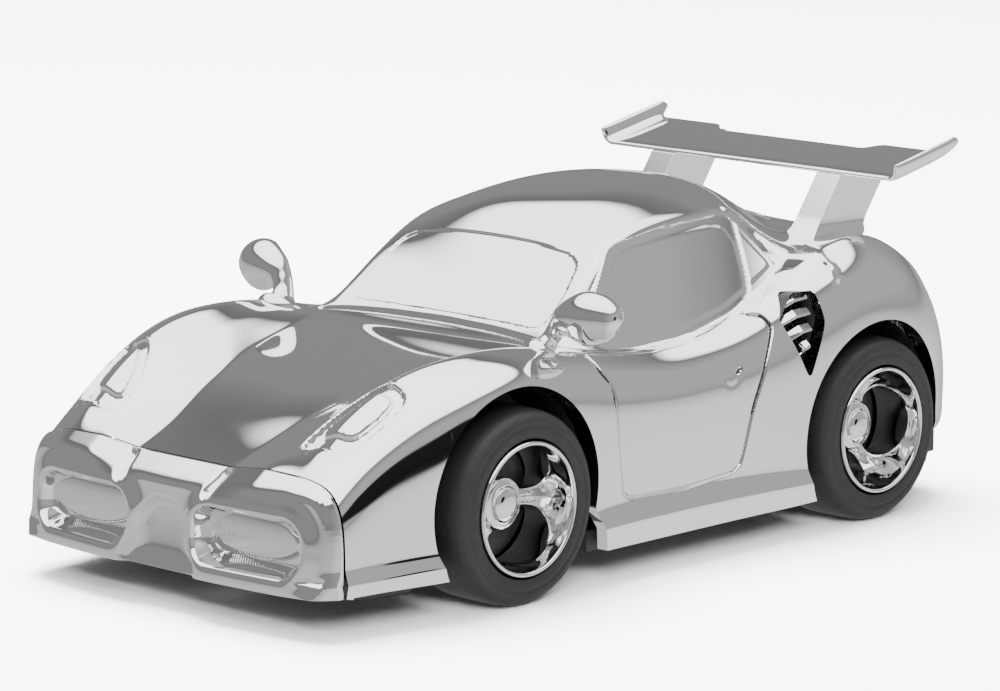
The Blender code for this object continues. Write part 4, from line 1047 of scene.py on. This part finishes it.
# ---- studio ----
def add_floor():
    rings = [[(radius * math.cos(2 * math.pi * k / 64), radius * math.sin(2 * math.pi * k / 64), 0)
              for k in range(64)] for radius in (1.5, 0.6, 0.2)]
    bm = bmesh.new()
    verts = [[bm.verts.new(p) for p in ring] for ring in rings]
    for outer, inner in zip(verts, verts[1:]):
        for k in range(64):
            bm.faces.new((outer[k], outer[(k + 1) % 64], inner[(k + 1) % 64], inner[k]))
    bm.faces.new(verts[-1])
    mesh = bpy.data.meshes.new("floor")
    bm.to_mesh(mesh)
    bm.free()
    floor = bpy.data.objects.new("floor", mesh)
    bpy.context.scene.collection.objects.link(floor)
    mesh.materials.append(material("floor_paper", (0.93, 0.93, 0.93), 0, (0.7, 0.85), 0.01, 2, 0.01))
    floor.visible_glossy = False


class Graph:
    """Small helper for chains of math nodes."""

    def __init__(self, tree):
        self.tree = tree

    def math(self, operation, *values):
        node = self.tree.nodes.new("ShaderNodeMath")
        node.operation = operation
        for socket, value in zip(node.inputs, values):
            if isinstance(value, (int, float)):
                socket.default_value = value
            else:
                self.tree.links.new(value, socket)
        return node.outputs[0]

    def smooth(self, value, low, high, start, end):
        node = self.tree.nodes.new("ShaderNodeMapRange")
        node.interpolation_type = "SMOOTHSTEP"
        settle(node, {"From Min": low, "From Max": high, "To Min": start, "To Max": end})
        self.tree.links.new(value, node.inputs["Value"])
        return node.outputs[0]

    def towards(self, vector, way):
        node = self.tree.nodes.new("ShaderNodeVectorMath")
        node.operation = "DOT_PRODUCT"
        self.tree.links.new(vector, node.inputs[0])
        node.inputs[1].default_value = Vector(way).normalized()
        return node.outputs["Value"]


def add_world():
    """A studio all round: a broad soft light overhead, grey walls, a pale table and one dark card."""
    world = bpy.data.worlds.new("studio")
    bpy.context.scene.world = world
    world.use_nodes = True
    tree = world.node_tree
    graph = Graph(tree)
    direction = tree.nodes.new("ShaderNodeTexCoord").outputs["Generated"]
    height = graph.towards(direction, (0, 0, 1))
    ramp = tree.nodes.new("ShaderNodeValToRGB")
    levels = ((-1.0, 0.6), (-0.45, 0.75), (-0.12, 0.6), (-0.02, 0.4), (0.02, 0.22), (0.12, 0.28), (0.5, 0.28),
              (0.65, 0.17), (0.7, 3.0), (1.0, 3.4))
    stops = ramp.color_ramp.elements
    while len(stops) < len(levels):
        stops.new(0.5)
    for stop, (z, level) in zip(stops, levels):
        stop.position = (z + 1) / 2
        stop.color = (level, level, level, 1)
    linear = tree.nodes.new("ShaderNodeMapRange")
    linear.inputs["From Min"].default_value = -1
    tree.links.new(height, linear.inputs["Value"])
    tree.links.new(linear.outputs["Result"], ramp.inputs["Fac"])
    right = graph.smooth(graph.towards(direction, (1, 0.75, 0)), 0.1, 0.75, 1.0, 1.75)
    low = graph.smooth(height, 0.6, 0.68, 1, 0)
    lift = graph.math("ADD", graph.math("MULTIPLY", graph.math("SUBTRACT", right, 1.0), low), 1.0)
    card = graph.smooth(graph.towards(direction, (0.961, 0.24, 0.139)), math.cos(math.radians(12.5)),
                        math.cos(math.radians(9)), 1.0, 0.03)
    level = graph.math("MULTIPLY", graph.math("MULTIPLY", ramp.outputs["Color"], lift), card)
    shade = tree.nodes["Background"]
    tree.links.new(level, shade.inputs["Color"])
    settle(shade, {"Strength": 1.0})


def add_light(name, location, size, power, aim=(0, 0, 0.02)):
    light = bpy.data.lights.new(name, "AREA")
    light.shape = "DISK"
    light.size = size
    light.energy = power
    made = bpy.data.objects.new(name, light)
    made.location = location
    made.rotation_euler = (Vector(aim) - Vector(location)).to_track_quat("-Z", "Y").to_euler()
    made.visible_glossy = False
    bpy.context.scene.collection.objects.link(made)


CAMERA_PLACE, CAMERA_AIM = (361.06, -385.59, 119.43), (-7.43, 7.04, 20.26)
CAMERA_ROLL = 0.36
CAMERA_LENS = 165.4


def add_camera():
    camera = bpy.data.objects.new("camera", bpy.data.cameras.new("camera"))
    place, aim = Vector(CAMERA_PLACE) * MM, Vector(CAMERA_AIM) * MM
    camera.location = place
    camera.rotation_euler = (aim - place).to_track_quat("-Z", "Y").to_euler()
    camera.rotation_euler.rotate_axis("Z", math.radians(CAMERA_ROLL))
    camera.data.lens = CAMERA_LENS
    camera.data.sensor_width = 36
    camera.data.clip_start = 0.01
    bpy.context.scene.collection.objects.link(camera)
    bpy.context.scene.camera = camera


add_floor()
add_world()
add_light("key", (-0.25, 0.1, 0.9), 0.7, 75)
add_light("fill", (0.7, -0.6, 0.6), 0.5, 20)
add_camera()
